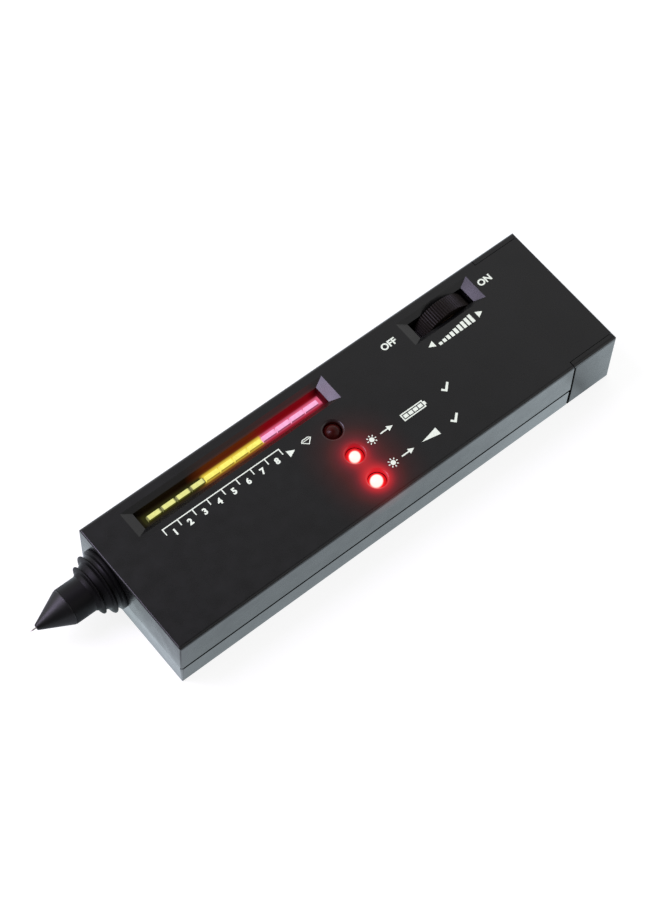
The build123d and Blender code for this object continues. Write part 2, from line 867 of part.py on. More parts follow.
def resistors():
    """Row of axial resistors beside the near chip, each on its two bent legs."""
    row = []
    _, (x, chip_y, half_length, _) = chip_places()
    x -= half_length
    y = chip_y - chip_width / 2 - chip_leg_wall - resistor_chip_gap - resistor_span / 2
    z = board_top + resistor_lift + resistor_radius
    for i in range(resistor_count):
        xi = x + i * resistor_spacing
        half = resistor_leg_size / 2
        end = resistor_span / 2
        body = axle(xi, z, y - resistor_length / 2, y + resistor_length / 2, resistor_radius)
        body += block(xi - half, xi + half, y - end, y + end, z - half, z + half)
        for side in (-1, 1):
            leg_y = y + side * (end - half)
            body += block(xi - half, xi + half, leg_y - half, leg_y + half, board_top, z)
        row.append(body)
    return group(row)


def trimmers():
    """Two square preset trimmers with a slotted screw on top."""
    presets = []
    for shares in trimmer_place_shares:
        x, y = rear_place(shares)
        half = trimmer_size / 2
        top = board_top + trimmer_height
        preset = block(x - half, x + half, y - half, y + half, board_top, top)
        preset += post(x, y, top, top + trimmer_screw_height, trimmer_screw_radius)
        slot = screw_slot_width / 2
        presets.append(preset - block(x - half, x + half, y - slot, y + slot,
                                      top, top + trimmer_screw_height))
    return group(presets)


def buzzer():
    """Round buzzer that sounds when a stone passes."""
    x, y = rear_place(buzzer_place_share)
    top = board_top + buzzer_height
    return post(x, y, board_top, top, buzzer_radius) - post(
        x, y, top - buzzer_hole_depth, top, buzzer_hole_radius
    )


def transistors():
    """Two small transistors, flat on one side, each on three legs."""
    parts = []
    for shares in transistor_place_shares:
        x, y = front_place(shares)
        z = board_top + transistor_lift
        body = post(x, y, z, z + transistor_height, transistor_radius)
        body -= block(x - transistor_radius, x + transistor_radius, y + transistor_flat,
                      y + transistor_radius, z, z + transistor_height)
        half = transistor_leg_size / 2
        for i in (-1, 0, 1):
            xi = x + i * transistor_leg_spacing
            body += block(xi - half, xi + half, y - half, y + half, board_top, z + half)
        parts.append(body)
    return group(parts)


def probe_collar():
    """Ringed nose base and neck, with a shank through the front wall and a bore for the leads."""
    steps = [(front - a * ringed_length, r * flange_radius) for a, r in ring_outline_shares]
    inner = front + shank_length
    points = [(inner, collar_bore_radius), (inner, shank_radius), (front, shank_radius)] + steps
    points += [
        (front - ringed_length, neck_radius), (neck_end, neck_radius),
        (neck_end, socket_radius + socket_gap), (neck_end + socket_depth, socket_radius + socket_gap),
        (neck_end + socket_depth, collar_bore_radius),
    ]
    return turned(points)


def collar_nut():
    """Six-sided nut that holds the nose from inside the front wall."""
    start = front + side_wall
    flats = RegularPolygon(nut_flats / 2, 6, major_radius=False)
    nut = Plane.YZ.offset(start) * Pos(probe_y, probe_z, 0) * flats
    hole = shank_radius + nut_gap
    return extrude(nut, nut_thickness, dir=(1, 0, 0)) - turned([
        (start, 0), (start, hole), (start + nut_thickness, hole), (start + nut_thickness, 0),
    ])


def probe_cone():
    """Glossy cone on a spigot, hollow for the needle's plunger and its spring."""
    return turned([
        (cone_tip, cone_bore_radius), (cone_tip, cone_tip_radius),
        (neck_end - cone_shoulder, cone_base_radius), (neck_end, cone_base_radius),
        (neck_end, socket_radius), (spigot_end, socket_radius), (spigot_end, chamber_radius),
        (chamber_front, chamber_radius), (chamber_front, cone_bore_radius),
    ])


def spring_seat():
    """Bush in the cone's spigot that the spring pushes against."""
    bore = plunger_rod_radius + seat_bore_gap
    outer = chamber_radius - seat_gap
    return turned([
        (seat_front, bore), (seat_front, outer), (seat_back, outer), (seat_back, bore),
    ])


def probe_spring():
    """Spring inside the cone, between the plunger and its seat."""
    inner = plunger_rod_radius + spring_gap
    outer = inner + spring_wall
    return turned([
        (plunger_back, inner), (plunger_back, outer), (seat_front, outer), (seat_front, inner),
    ])


def needle_plunger():
    """Plunger behind the needle, with the rod that reaches the heater."""
    return turned([
        (plunger_front, 0), (plunger_front, plunger_radius), (plunger_back, plunger_radius),
        (plunger_back, plunger_rod_radius), (rod_end, plunger_rod_radius), (rod_end, 0),
    ])


def probe_needle():
    """Pointed needle that touches the stone."""
    return turned([
        (needle_tip, 0), (needle_tip, needle_point_radius),
        (needle_tip + needle_point_length, needle_radius), (plunger_front, needle_radius),
        (plunger_front, 0),
    ])


def heater_element():
    """Heater and sensor on the end of the plunger's rod."""
    return turned([
        (rod_end, 0), (rod_end, heater_radius), (heater_end, heater_radius), (heater_end, 0),
    ])


def probe_leads():
    """Two leads from beside the heater, back through the collar's bore and onto the board."""
    offset = heater_radius + probe_lead_gap + probe_lead_radius
    start = rod_end + heater_length / 2
    high = board_top + probe_lead_rise
    landing = board_front + probe_lead_reach
    leads = []
    for y in (probe_y - offset, probe_y + offset):
        leads.append(lead([
            (start, y, probe_z), (board_front - probe_lead_ramp, y, probe_z),
            (board_front + probe_lead_step, y, high), (landing, y, high),
            (landing, y, board_top + lead_tip_gap),
        ], probe_lead_radius))
    return group(leads)


def pot_leads():
    """Three leads from the potentiometer's tags, beside the bay wall, up to the board."""
    y = pot_near + pot_tag_inset + pot_tag_wall + lead_tip_gap + lead_radius
    low = wheel_z - pot_radius - pot_lead_drop
    leads = []
    for i in range(3):
        z = low + i * pot_lead_spacing
        rise = board_rear - pot_lead_reach - i * pot_lead_spacing
        tag = wheel_x + (i - 1) * pot_tag_spacing
        leads.append(lead([
            (tag, y, z), (rise, y, z), (rise, y, board_under - lead_tip_gap),
        ], lead_radius))
    return group(leads)


parts = {
    "top_shell": top_shell(),
    "bottom_shell": bottom_shell(),
    "case_screws": case_screws(),
    "battery_cover": battery_cover(),
    "cover_foam": cover_foam(),
    "battery": battery(),
    "battery_studs": battery_studs(),
    "battery_snap": battery_snap(),
    "battery_leads": battery_leads(),
    "thumb_wheel": thumb_wheel(),
    "pot_spindle": pot_spindle(),
    "wheel_screw": wheel_screw(),
    "volume_pot": volume_pot(),
    "pot_leads": pot_leads(),
    "main_board": main_board(),
    "board_screws": board_screws(),
    "light_holder": light_holder(),
    "segments_green": light_segments(0, colour_count),
    "segments_yellow": light_segments(colour_count, 2 * colour_count),
    "segments_red": light_segments(2 * colour_count, segment_count),
    "alert_lamp": lamp(lamp_ys[0]),
    "battery_lamp": lamp(lamp_ys[1]),
    "ready_lamp": lamp(lamp_ys[2]),
    "lamp_spacers": lamp_spacers(),
    "chips": chips(),
    "chip_legs": chip_legs(),
    "capacitors": capacitors(),
    "resistors": resistors(),
    "trimmers": trimmers(),
    "buzzer": buzzer(),
    "transistors": transistors(),
    "probe_collar": probe_collar(),
    "collar_nut": collar_nut(),
    "probe_cone": probe_cone(),
    "spring_seat": spring_seat(),
    "probe_spring": probe_spring(),
    "needle_plunger": needle_plunger(),
    "probe_needle": probe_needle(),
    "heater_element": heater_element(),
    "probe_leads": probe_leads(),
}
os.makedirs("parts", exist_ok=True)
for name, shape in parts.items():
    export_step(shape, f"parts/{name}.step")
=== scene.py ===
"""Hand-held diamond tester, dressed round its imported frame.

Everything is in metres. X runs from the needle to the battery cover, Y to the far side, Z up.
"""

import math

import bmesh
import bpy
from bpy.props import FloatProperty, FloatVectorProperty, IntProperty, PointerProperty
from mathutils import Matrix, Vector


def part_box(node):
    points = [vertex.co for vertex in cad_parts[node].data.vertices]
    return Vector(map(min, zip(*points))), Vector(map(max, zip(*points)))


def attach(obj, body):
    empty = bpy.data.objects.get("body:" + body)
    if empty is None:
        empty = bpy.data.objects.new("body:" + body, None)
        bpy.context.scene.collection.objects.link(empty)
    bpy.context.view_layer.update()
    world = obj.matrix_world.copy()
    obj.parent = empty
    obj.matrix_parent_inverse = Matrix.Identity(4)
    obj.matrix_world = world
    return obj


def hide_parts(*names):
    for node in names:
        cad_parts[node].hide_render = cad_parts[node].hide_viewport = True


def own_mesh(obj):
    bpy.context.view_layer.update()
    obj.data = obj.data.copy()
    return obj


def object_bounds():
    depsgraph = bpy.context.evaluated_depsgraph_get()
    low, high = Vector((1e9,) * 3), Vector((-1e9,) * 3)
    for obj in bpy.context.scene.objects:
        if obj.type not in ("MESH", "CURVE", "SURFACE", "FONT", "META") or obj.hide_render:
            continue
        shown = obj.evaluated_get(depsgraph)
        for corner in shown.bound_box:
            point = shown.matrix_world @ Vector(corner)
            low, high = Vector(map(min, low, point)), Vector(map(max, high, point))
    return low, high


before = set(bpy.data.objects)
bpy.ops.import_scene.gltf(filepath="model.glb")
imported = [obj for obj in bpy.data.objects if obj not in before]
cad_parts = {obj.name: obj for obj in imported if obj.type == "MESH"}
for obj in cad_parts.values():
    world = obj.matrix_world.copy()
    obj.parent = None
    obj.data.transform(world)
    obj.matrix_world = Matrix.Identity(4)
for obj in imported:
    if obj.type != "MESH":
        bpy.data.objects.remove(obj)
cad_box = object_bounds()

bl_info = {
    "name": "Diamond tester",
    "version": (1, 0, 0),
    "blender": (4, 5, 0),
    "location": "View3D > Sidebar > Tester",
    "description": "Builds the visible pieces of a hand-held diamond tester on its packed frame",
    "category": "Object",
}

MM = 0.001
FULL_TURN = 2 * math.pi
MERGE_GAP = 1e-7
FLAT_ANGLE = math.radians(1.0)
RING_ANGLE = math.radians(12)
SHARP_ANGLE = math.radians(20)
CREASE_ANGLE = math.radians(50)
NODE_SPACING = 260.0
BLACK = (0.0, 0.0, 0.0)
WHITE = (1.0, 1.0, 1.0)


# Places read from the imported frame


def middle(node):
    """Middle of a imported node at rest."""
    low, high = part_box(node)
    return (low + high) / 2


case_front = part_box("top_shell")[0].x
deck_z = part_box("top_shell")[1].z
bar_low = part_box("segments_green")[0]
bar_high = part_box("segments_red")[1]
bar_y = middle("segments_green").y
window_before, window_past, window_half_width = 2.55 * MM, 1.75 * MM, 2.7 * MM
window_front = bar_low.x - window_before
window_rear = bar_high.x + window_past
cover_length = 14.9 * MM
cover_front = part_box("battery_cover")[1].x - cover_length
seam_z = 8.0 * MM
lit_lamps = ("battery_lamp", "ready_lamp")
probe_y = middle("probe_cone").y
probe_z = middle("probe_cone").z


# Colours


def tone(red, green, blue):
    """Linear colour of a screen tone whose parts run from 0 to 255."""
    shares = [part / 255 for part in (red, green, blue)]
    return tuple(s / 12.92 if s <= 0.04045 else ((s + 0.055) / 1.055) ** 2.4 for s in shares)


def grey(level):
    """Colour with the same share of red, green and blue."""
    return (level, level, level)


def shaded(colour, share):
    """The colour made darker or lighter."""
    return tuple(min(1.0, part * share) for part in colour)


# Sizes and colours that a user may change


def length(name, description, default):
    return FloatProperty(
        name=name, description=description, default=default, min=0.0, precision=5,
        subtype="DISTANCE", unit="LENGTH",
    )


def colour(name, description, default):
    return FloatVectorProperty(
        name=name, description=description, default=default, size=3, min=0.0, max=1.0,
        subtype="COLOR",
    )


def share(name, description, default):
    return FloatProperty(
        name=name, description=description, default=default, min=0.0, max=1.0, subtype="FACTOR",
    )


def count(name, description, default):
    return IntProperty(name=name, description=description, default=default, min=1)


def power(name, description, default):
    return FloatProperty(
        name=name, description=description, default=default, min=0.0, unit="POWER",
    )


def angle(name, description, degrees):
    return FloatProperty(
        name=name, description=description, default=math.radians(degrees), subtype="ANGLE",
    )


class TesterCaseSettings(bpy.types.PropertyGroup):
    """Case shells and battery cover."""

    edge_round: length("Edge rounding", "Rounding of the moulded edges", 0.11 * MM)
    upper_colour: colour("Upper case", "Colour of the upper case", (0.0062, 0.0064, 0.0062))
    lower_colour: colour("Lower case", "Colour of the lower case", (0.0160, 0.0165, 0.0170))
    roughness: share("Roughness", "Roughness of the moulded surface", 0.28)
    grain: length("Grain size", "Size of the moulded grain", 0.30 * MM)
    grain_depth: length("Grain depth", "Depth of the moulded grain", 0.004 * MM)
    halo_radius: length("Halo radius", "Reach of the red light round a lit lamp", 11.0 * MM)


class TesterNoseSettings(bpy.types.PropertyGroup):
    """Ringed collar, cone and needle."""

    steps: count("Turning steps", "Facets round the turned pieces", 96)
    flange_radius: length("Flange radius", "Radius where the collar meets the case", 8.9 * MM)
    ringed_length: length("Ringed length", "Length of the ringed part", 7.0 * MM)
    neck_radius: length("Neck radius", "Radius of the plain neck", 5.2 * MM)
    shank_radius: length("Shank radius", "Radius of the part inside the case", 5.4 * MM)
    bore_radius: length("Bore radius", "Radius of the bore", 2.5 * MM)
    socket_radius: length("Socket radius", "Radius of the socket for the cone", 3.8 * MM)
    socket_depth: length("Socket depth", "Depth of the socket for the cone", 4.2 * MM)
    ring_round: length("Ring rounding", "Rounding of the ring edges", 0.07 * MM)
    cone_length: length("Cone length", "Length of the cone", 9.2 * MM)
    cone_base_radius: length("Cone base radius", "Radius of the cone at its base", 5.1 * MM)
    cone_tip_radius: length("Cone tip radius", "Radius of the cone at its tip", 0.8 * MM)
    cone_shoulder: length("Cone shoulder", "Straight part at the base of the cone", 0.35 * MM)
    spigot_radius: length("Spigot radius", "Radius of the cone's spigot", 3.75 * MM)
    chamber_radius: length("Chamber radius", "Radius of the plunger's chamber", 1.6 * MM)
    chamber_start: length("Chamber start", "Chamber's distance from the tip", 3.7 * MM)
    hole_radius: length("Needle hole radius", "Radius of the hole in the tip", 0.27 * MM)
    point_radius: length("Needle point radius", "Radius of the needle at its point", 0.07 * MM)
    point_length: length("Needle point length", "Length of the tapered point", 0.7 * MM)
    wire_radius: length("Spring wire radius", "Radius of the return spring's wire", 0.17 * MM)
    spring_turns: count("Spring turns", "Turns of the return spring", 7)
    collar_colour: colour("Collar", "Colour of the collar", (0.0040, 0.0036, 0.0040))
    cone_colour: colour("Cone", "Colour of the cone", (0.0045, 0.0040, 0.0048))


class TesterWheelSettings(bpy.types.PropertyGroup):
    """Volume thumb wheel."""

    edge_round: length("Edge rounding", "Rounding of the rib edges", 0.05 * MM)
    colour: colour("Wheel", "Colour of the thumb wheel", (0.0115, 0.0085, 0.0066))
    roughness: share("Roughness", "Roughness of the wheel", 0.42)


class TesterLightSettings(bpy.types.PropertyGroup):
    """Light bar and round lamps."""

    segment_gap: length("Segment gap", "Gap between two segments", 0.3 * MM)
    segment_round: length("Segment rounding", "Rounding of the segments' edges", 0.16 * MM)
    segments_per_colour: count("Segments per colour", "Segments that share a colour", 4)
    end_glow: share("End glow", "Brightness of a green segment's ends against its middle", 0.25)
    green: colour("Green core", "Middle of a green segment", tone(229, 230, 140))
    green_edge: colour("Green edge", "Edge of a green segment", tone(128, 126, 52))
    yellow: colour("Yellow core", "Middle of a yellow segment", tone(255, 246, 112))
    yellow_edge: colour("Yellow edge", "Edge of a yellow segment", tone(238, 205, 84))
    red: colour("Red core", "Middle of a red segment", tone(255, 179, 220))
    red_edge: colour("Red edge", "Edge of a red segment", tone(226, 120, 158))
    lamp_radius: length("Lamp radius", "Radius of a round lamp", 2.5 * MM)
    flange_height: length("Flange height", "Height of a round lamp's flange", 1.0 * MM)
    lamp_red: colour("Lamp red", "Red of a lit lamp", tone(255, 28, 36))
    lamp_dark: colour("Dark lamp", "Colour of the lamp that is off", (0.055, 0.0060, 0.0045))
    core_radius: length("Core radius", "Radius of the white core of a lit lamp", 1.5 * MM)


class TesterLegendSettings(bpy.types.PropertyGroup):
    """Printed marks on the deck."""

    thickness: length("Ink thickness", "How far the ink stands up", 0.012 * MM)
    line: length("Line width", "Width of the scale's lines", 0.30 * MM)
    digit_height: length("Digit height", "Height of the scale's digits", 1.95 * MM)
    word_height: length("Word height", "Height of the on and off words", 2.1 * MM)
    ink: colour("Ink", "Colour of the printed marks", tone(242, 252, 234))


class TesterInsideSettings(bpy.types.PropertyGroup):
    """Battery and inner parts."""

    can_round: length("Can rounding", "Rounding of the battery's long edges", 2.0 * MM)
    crimp: length("Crimp", "Width and depth of the battery's crimped rim", 0.5 * MM)
    can_colour: colour("Battery wrap", "Colour of the battery's wrap", (0.10, 0.115, 0.135))
    foam_round: length("Foam rounding", "Rounding of the foam pad", 0.3 * MM)
    board_colour: colour("Board", "Colour of the circuit board", (0.018, 0.11, 0.045))


class TesterStageSettings(bpy.types.PropertyGroup):
    """Floor, lights and camera."""

    floor_size: length("Floor size", "Side of the floor", 6.0)
    key_power: power("Key light", "Power of the soft key light", 1.7)
    key_size: length("Key size", "Side of the soft key light", 0.26)
    strip_power: power("Strip light", "Power of the long low light", 1.15)
    strip_length: length("Strip length", "Length of the long low light", 0.36)
    camera_distance: length("Camera distance", "Distance from the camera to its target", 0.6442)
    camera_lens: FloatProperty(
        name="Lens", description="Focal length", default=97.868, min=1.0, unit="CAMERA",
    )
    azimuth: angle("Azimuth", "Camera azimuth", -41.79)
    elevation: angle("Elevation", "Camera elevation", 61.57)
    roll: angle("Roll", "Camera roll", 3.13)


# Materials


SOCKETS = {
    "metallic": "Metallic", "roughness": "Roughness", "specular": "Specular IOR Level",
    "coat": "Coat Weight",
}


class NodeTree:
    """Shader nodes of a material or of the world, put together with short calls."""

    def __init__(self, owner, place, clear=False):
        owner.use_nodes = True
        self.tree = owner.node_tree
        if clear:
            self.tree.nodes.clear()
        self.place = self.add("TexCoord").outputs[place]

    def add(self, kind, **settings):
        made = self.tree.nodes.new("ShaderNode" + kind)
        for name, value in settings.items():
            setattr(made, name, value)
        made.location = (-NODE_SPACING * len(self.tree.nodes), 0.0)
        return made

    def feed(self, socket, value):
        """Links a socket to another one, or sets its value."""
        if isinstance(value, bpy.types.NodeSocket):
            self.tree.links.new(value, socket)
        else:
            socket.default_value = value

    def along(self, axis):
        """Place along X, Y or Z."""
        parts = self.add("SeparateXYZ")
        self.feed(parts.inputs["Vector"], self.place)
        return parts.outputs[axis]

    def vector(self, kind, first, second):
        """One step of arithmetic with vectors."""
        step = self.add("VectorMath", operation=kind)
        self.feed(step.inputs[0], first)
        self.feed(step.inputs[1], second)
        return step.outputs

    def distance(self, point, keep=(1, 1, 1)):
        """Distance from a point, with the axes that keep leaves at zero left out."""
        flat = self.vector("MULTIPLY", self.place, keep)["Vector"]
        target = [part * kept for part, kept in zip(point, keep)]
        return self.vector("DISTANCE", flat, target)["Value"]

    def fit(self, value, low, high, to_low=0.0, to_high=1.0, clamp=True):
        """Carries a range of values over to another range."""
        fitted = self.add("MapRange", clamp=clamp)
        names = ("Value", "From Min", "From Max", "To Min", "To Max")
        for name, number in zip(names, (value, low, high, to_low, to_high)):
            self.feed(fitted.inputs[name], number)
        return fitted.outputs["Result"]

    def sum(self, kind, *values):
        """One step of arithmetic."""
        step = self.add("Math", operation=kind)
        for socket, value in zip(step.inputs, values):
            self.feed(socket, value)
        return step.outputs["Value"]

    def ramp(self, value, stops, interpolation="LINEAR"):
        """Colour read from a band of (place, colour) stops."""
        band = self.add("ValToRGB")
        ramp = band.color_ramp
        ramp.interpolation = interpolation
        for mark, (place, paint) in zip(ramp.elements, (stops[0], stops[-1])):
            mark.position = place
            mark.color = (*paint, 1.0)
        for place, paint in stops[1:-1]:
            ramp.elements.new(place).color = (*paint, 1.0)
        self.feed(band.inputs["Fac"], value)
        return band.outputs["Color"]

    def mix(self, value, first, second, blend="MIX"):
        """Two colours laid over each other."""
        both = self.add("MixRGB", blend_type=blend)
        self.feed(both.inputs["Fac"], value)
        for socket, paint in zip((both.inputs["Color1"], both.inputs["Color2"]), (first, second)):
            self.feed(socket, paint if isinstance(paint, bpy.types.NodeSocket) else (*paint, 1.0))
        return both.outputs["Color"]


class Finish(NodeTree):
    """A procedural material of a piece, in the piece's own coordinates."""

    # Where the shine comes back after a seam's painted shade: half widths from a seam's middle,
    # depths behind the case front
    seam_fade = 1.5
    front_wall = (0.3 * MM, 0.7 * MM)

    def __init__(self, name, **sockets):
        self.material = bpy.data.materials.new(name)
        super().__init__(self.material, "Object")
        self.shader = self.tree.nodes["Principled BSDF"]
        self.normal = None
        for socket, value in sockets.items():
            self.shader.inputs[SOCKETS[socket]].default_value = value

    def scaled(self, scale):
        """Place on the piece, scaled along its axes."""
        spread = self.add("Mapping")
        spread.inputs["Scale"].default_value = scale
        self.feed(spread.inputs["Vector"], self.place)
        return spread.outputs["Vector"]

    def noise(self, size, detail=3.0, stretch=(1, 1, 1)):
        """Soft random pattern with grains of about that size."""
        pattern = self.add("TexNoise")
        pattern.inputs["Scale"].default_value = 1.0
        pattern.inputs["Detail"].default_value = detail
        self.feed(pattern.inputs["Vector"], self.scaled([part / size for part in stretch]))
        return pattern.outputs["Fac"]

    def bump(self, height, depth):
        """Raises the surface by a pattern, on top of the bumps before it."""
        raised = self.add("Bump")
        raised.inputs["Strength"].default_value = 1.0
        raised.inputs["Distance"].default_value = depth
        self.feed(raised.inputs["Height"], height)
        if self.normal:
            self.feed(raised.inputs["Normal"], self.normal)
        self.normal = raised.outputs["Normal"]
        self.feed(self.shader.inputs["Normal"], self.normal)

    def paint(self, value):
        self.feed(self.shader.inputs["Base Color"], value)

    def rough(self, value):
        self.feed(self.shader.inputs["Roughness"], value)

    def glow(self, value):
        self.feed(self.shader.inputs["Emission Color"], value)
        self.shader.inputs["Emission Strength"].default_value = 1.0

    def seam(self, point, keep, half_width, full):
        """No shine inside a seam, which paints shade into the groove; the usual shine beyond it and
        on the front wall.
        """
        apart = self.distance(point, keep)
        shine = self.fit(apart, half_width, self.seam_fade * half_width, 0.0, full)
        start, end = (case_front + depth for depth in self.front_wall)
        front = self.fit(self.along("X"), start, end, full, 0.0)
        self.feed(self.shader.inputs[SOCKETS["specular"]], self.sum("MAXIMUM", shine, front))


def moulded(name, paint, roughness, grain=0.3 * MM, depth=0.004 * MM, cloud=0.14, **sockets):
    """Moulded plastic: faint clouding, uneven gloss and a fine grain."""
    cloud_size, gloss_size, gloss_change = 14 * MM, 4 * MM, 0.035
    finish = Finish(name, **sockets)
    clouds = [(0.35, shaded(paint, 1 - cloud)), (0.65, shaded(paint, 1 + cloud))]
    finish.paint(finish.ramp(finish.noise(cloud_size), clouds))
    smooth, rough = roughness - gloss_change, roughness + gloss_change
    finish.rough(finish.fit(finish.noise(gloss_size), 0.3, 0.7, smooth, rough))
    finish.bump(finish.noise(grain, 2.0), depth)
    return finish


def turned_metal(name, paint, roughness, stretch=(1, 1, 1), grain=0.25 * MM, depth=0.003 * MM):
    """Bare metal with fine tool lines."""
    finish = Finish(name, metallic=1.0)
    lines = finish.noise(grain, 3.0, stretch)
    finish.paint(finish.ramp(lines, [(0.3, shaded(paint, 0.82)), (0.7, shaded(paint, 1.08))]))
    finish.rough(finish.fit(lines, 0.3, 0.7, roughness - 0.06, roughness + 0.08))
    finish.bump(lines, depth)
    return finish


# Mesh tools


def merged_copy(node):
    """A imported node's mesh with its loose triangles joined and its flat faces made whole."""
    bm = bmesh.new()
    bm.from_mesh(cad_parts[node].data)
    bmesh.ops.remove_doubles(bm, verts=bm.verts, dist=MERGE_GAP)
    bmesh.ops.dissolve_limit(
        bm, angle_limit=FLAT_ANGLE, verts=bm.verts, edges=bm.edges, use_dissolve_boundaries=False,
    )
    return bm


def corner_edges(bm, smallest):
    """Edges at which two faces meet at more than an angle."""
    return [e for e in bm.edges if e.is_manifold and e.calc_face_angle() > smallest]


def round_edges(bm, width, segments=2, edges=None):
    """Rounds the sharp edges, or the ones that are given."""
    if edges is None:
        edges = corner_edges(bm, SHARP_ANGLE)
    bmesh.ops.bevel(
        bm, geom=edges, offset=width, offset_type="OFFSET", affect="EDGES", segments=segments,
        profile=0.5, clamp_overlap=True, material=-1,
    )


def spun(outline, steps, centre, axis=(1, 0, 0), closed=True):
    """Outline points turned a full circle about an axis through the centre."""
    bm = bmesh.new()
    corners = [bm.verts.new(point) for point in outline]
    pairs = list(zip(corners, corners[1:]))
    if closed:
        pairs.append((corners[-1], corners[0]))
    edges = [bm.edges.new(pair) for pair in pairs]
    bmesh.ops.spin(
        bm, geom=corners + edges, cent=centre, axis=axis, angle=FULL_TURN, steps=steps,
        use_merge=True,
    )
    bmesh.ops.remove_doubles(bm, verts=bm.verts, dist=MERGE_GAP)
    bmesh.ops.recalc_face_normals(bm, faces=bm.faces)
    return bm


def block(bm, low, high, width=0.0, segments=2):
    """A box between two corners, with its edges rounded."""
    low, high = Vector(low), Vector(high)
    place = Matrix.Translation((low + high) / 2) @ Matrix.Diagonal((*(high - low), 1.0))
    made = bmesh.ops.create_cube(bm, size=1.0, matrix=place)
    if width:
        round_edges(bm, width, segments, list({e for v in made["verts"] for e in v.link_edges}))


def piece(name, bm, finishes, body, replaced=(), weighted=True):
    """Turns a mesh into a named piece that rides on its body and takes the finishes given."""
    mesh = bpy.data.meshes.new(name)
    bm.to_mesh(mesh)
    bm.free()
    mesh.shade_smooth()
    mesh.set_sharp_from_angle(angle=CREASE_ANGLE)
    for finish in finishes:
        mesh.materials.append(finish.material)
    made = bpy.data.objects.new(name, mesh)
    bpy.context.scene.collection.objects.link(made)
    if weighted:
        even = made.modifiers.new("Even shading", "WEIGHTED_NORMAL")
        even.keep_sharp = True
    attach(made, body)
    if replaced:
        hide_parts(*replaced)
    return made


def dress(finish, *nodes):
    """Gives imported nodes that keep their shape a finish."""
    for node in nodes:
        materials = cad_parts[node].data.materials
        if not materials:
            materials.append(finish.material)
        for place in range(len(materials)):
            materials[place] = finish.material
        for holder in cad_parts[node].material_slots:
            holder.material = finish.material


# Light that the bar and the lamps throw on what stands round them


# Colours along the bar, from just before its green end to just past its red end
CLOSE_LIGHT = (
    (0.00, BLACK), (0.04, (0.022, 0.018, 0.003)), (0.30, (0.026, 0.018, 0.003)),
    (0.37, (0.20, 0.085, 0.006)), (0.64, (0.22, 0.07, 0.006)), (0.70, (0.36, 0.012, 0.032)),
    (0.96, (0.36, 0.010, 0.032)), (1.00, (0.06, 0.001, 0.004)),
)
FAR_LIGHT = (
    (0.00, BLACK), (0.06, (0.004, 0.002, 0.0)), (0.28, (0.006, 0.002, 0.0)),
    (0.38, (0.085, 0.014, 0.002)), (0.62, (0.110, 0.012, 0.002)), (0.72, (0.190, 0.001, 0.004)),
    (0.95, (0.180, 0.001, 0.004)), (1.00, (0.020, 0.0, 0.001)),
)
BETWEEN_LIGHT = (
    (0.34, (0.02, 0.02, 0.0)), (0.36, (0.80, 0.58, 0.06)), (0.665, (0.80, 0.56, 0.06)),
    (0.675, (0.72, 0.12, 0.22)),
)
# Colours of the lamps' light, from none to the most
HALO_LIGHT = (
    (0.0, BLACK), (0.10, (0.050, 0.0005, 0.0)), (0.20, (0.080, 0.0015, 0.004)),
    (0.35, (0.15, 0.002, 0.007)), (0.60, (0.36, 0.004, 0.011)), (0.80, (0.52, 0.007, 0.014)),
    (1.0, (0.66, 0.010, 0.018)),
)


def bar_light(finish, strength, between=False):
    """Light that the bar throws on what stands round it, green to red along the bar."""
    segments, before, past = 12, 0.6, 0.35
    spread = (bar_high.x - bar_low.x) / segments
    start, end = bar_low.x - before * spread, bar_high.x + past * spread
    along = finish.fit(finish.along("X"), start, end)
    close_end, far_start, far_end = 0.9 * MM, 2.5 * MM, 3.9 * MM
    apart = finish.distance((0, bar_y, bar_high.z), (0, 1, 1))
    close, far = finish.ramp(along, CLOSE_LIGHT), finish.ramp(along, FAR_LIGHT)
    paint = finish.mix(finish.fit(apart, close_end, far_start), close, far)
    if between:
        shift, hot_end, cool_start = 0.35 * MM, 1.15 * MM, 1.75 * MM
        beyond = finish.distance((0, bar_y + shift, bar_high.z), (0, 1, 1))
        hot = finish.ramp(along, BETWEEN_LIGHT)
        paint = finish.mix(finish.fit(beyond, hot_end, cool_start), hot, paint)
    near_side, far_side, near_level, far_level = 3.4 * MM, 3.0 * MM, 0.42, 0.16
    across = finish.along("Y")
    side = finish.fit(across, bar_y - near_side, bar_y + far_side, near_level, far_level)
    fade = finish.fit(apart, far_start, far_end)
    level = finish.sum("MULTIPLY_ADD", fade, finish.sum("SUBTRACT", side, 1.0), 1.0)
    return finish.mix(finish.sum("MULTIPLY", level, strength), BLACK, paint)


def lamp_halo(finish, reach):
    """Red light on the deck round the lit lamps: a steep halo and a weak wide cast."""
    levels, rim = (0.62, 1.0), 2.5 * MM
    halo_power, cast_power = 4.0, 2.0
    cast_level, cast_reach = 0.32, 1.5 * reach
    foot, top = deck_z - 5.0 * MM, deck_z - 0.6 * MM
    total = 0.0
    for lamp, level in zip(lit_lamps, levels):
        apart = finish.distance(middle(lamp), (1, 1, 0))
        near = finish.sum("POWER", finish.fit(apart, rim, reach, 1.0, 0.0), halo_power)
        total = finish.sum("ADD", finish.sum("MULTIPLY", near, level), total)
        cast = finish.sum("POWER", finish.fit(apart, rim, cast_reach, cast_level, 0.0), cast_power)
        total = finish.sum("ADD", cast, total)
    height = finish.fit(finish.along("Z"), foot, top)
    return finish.ramp(finish.sum("MULTIPLY", total, height), HALO_LIGHT)


# Case


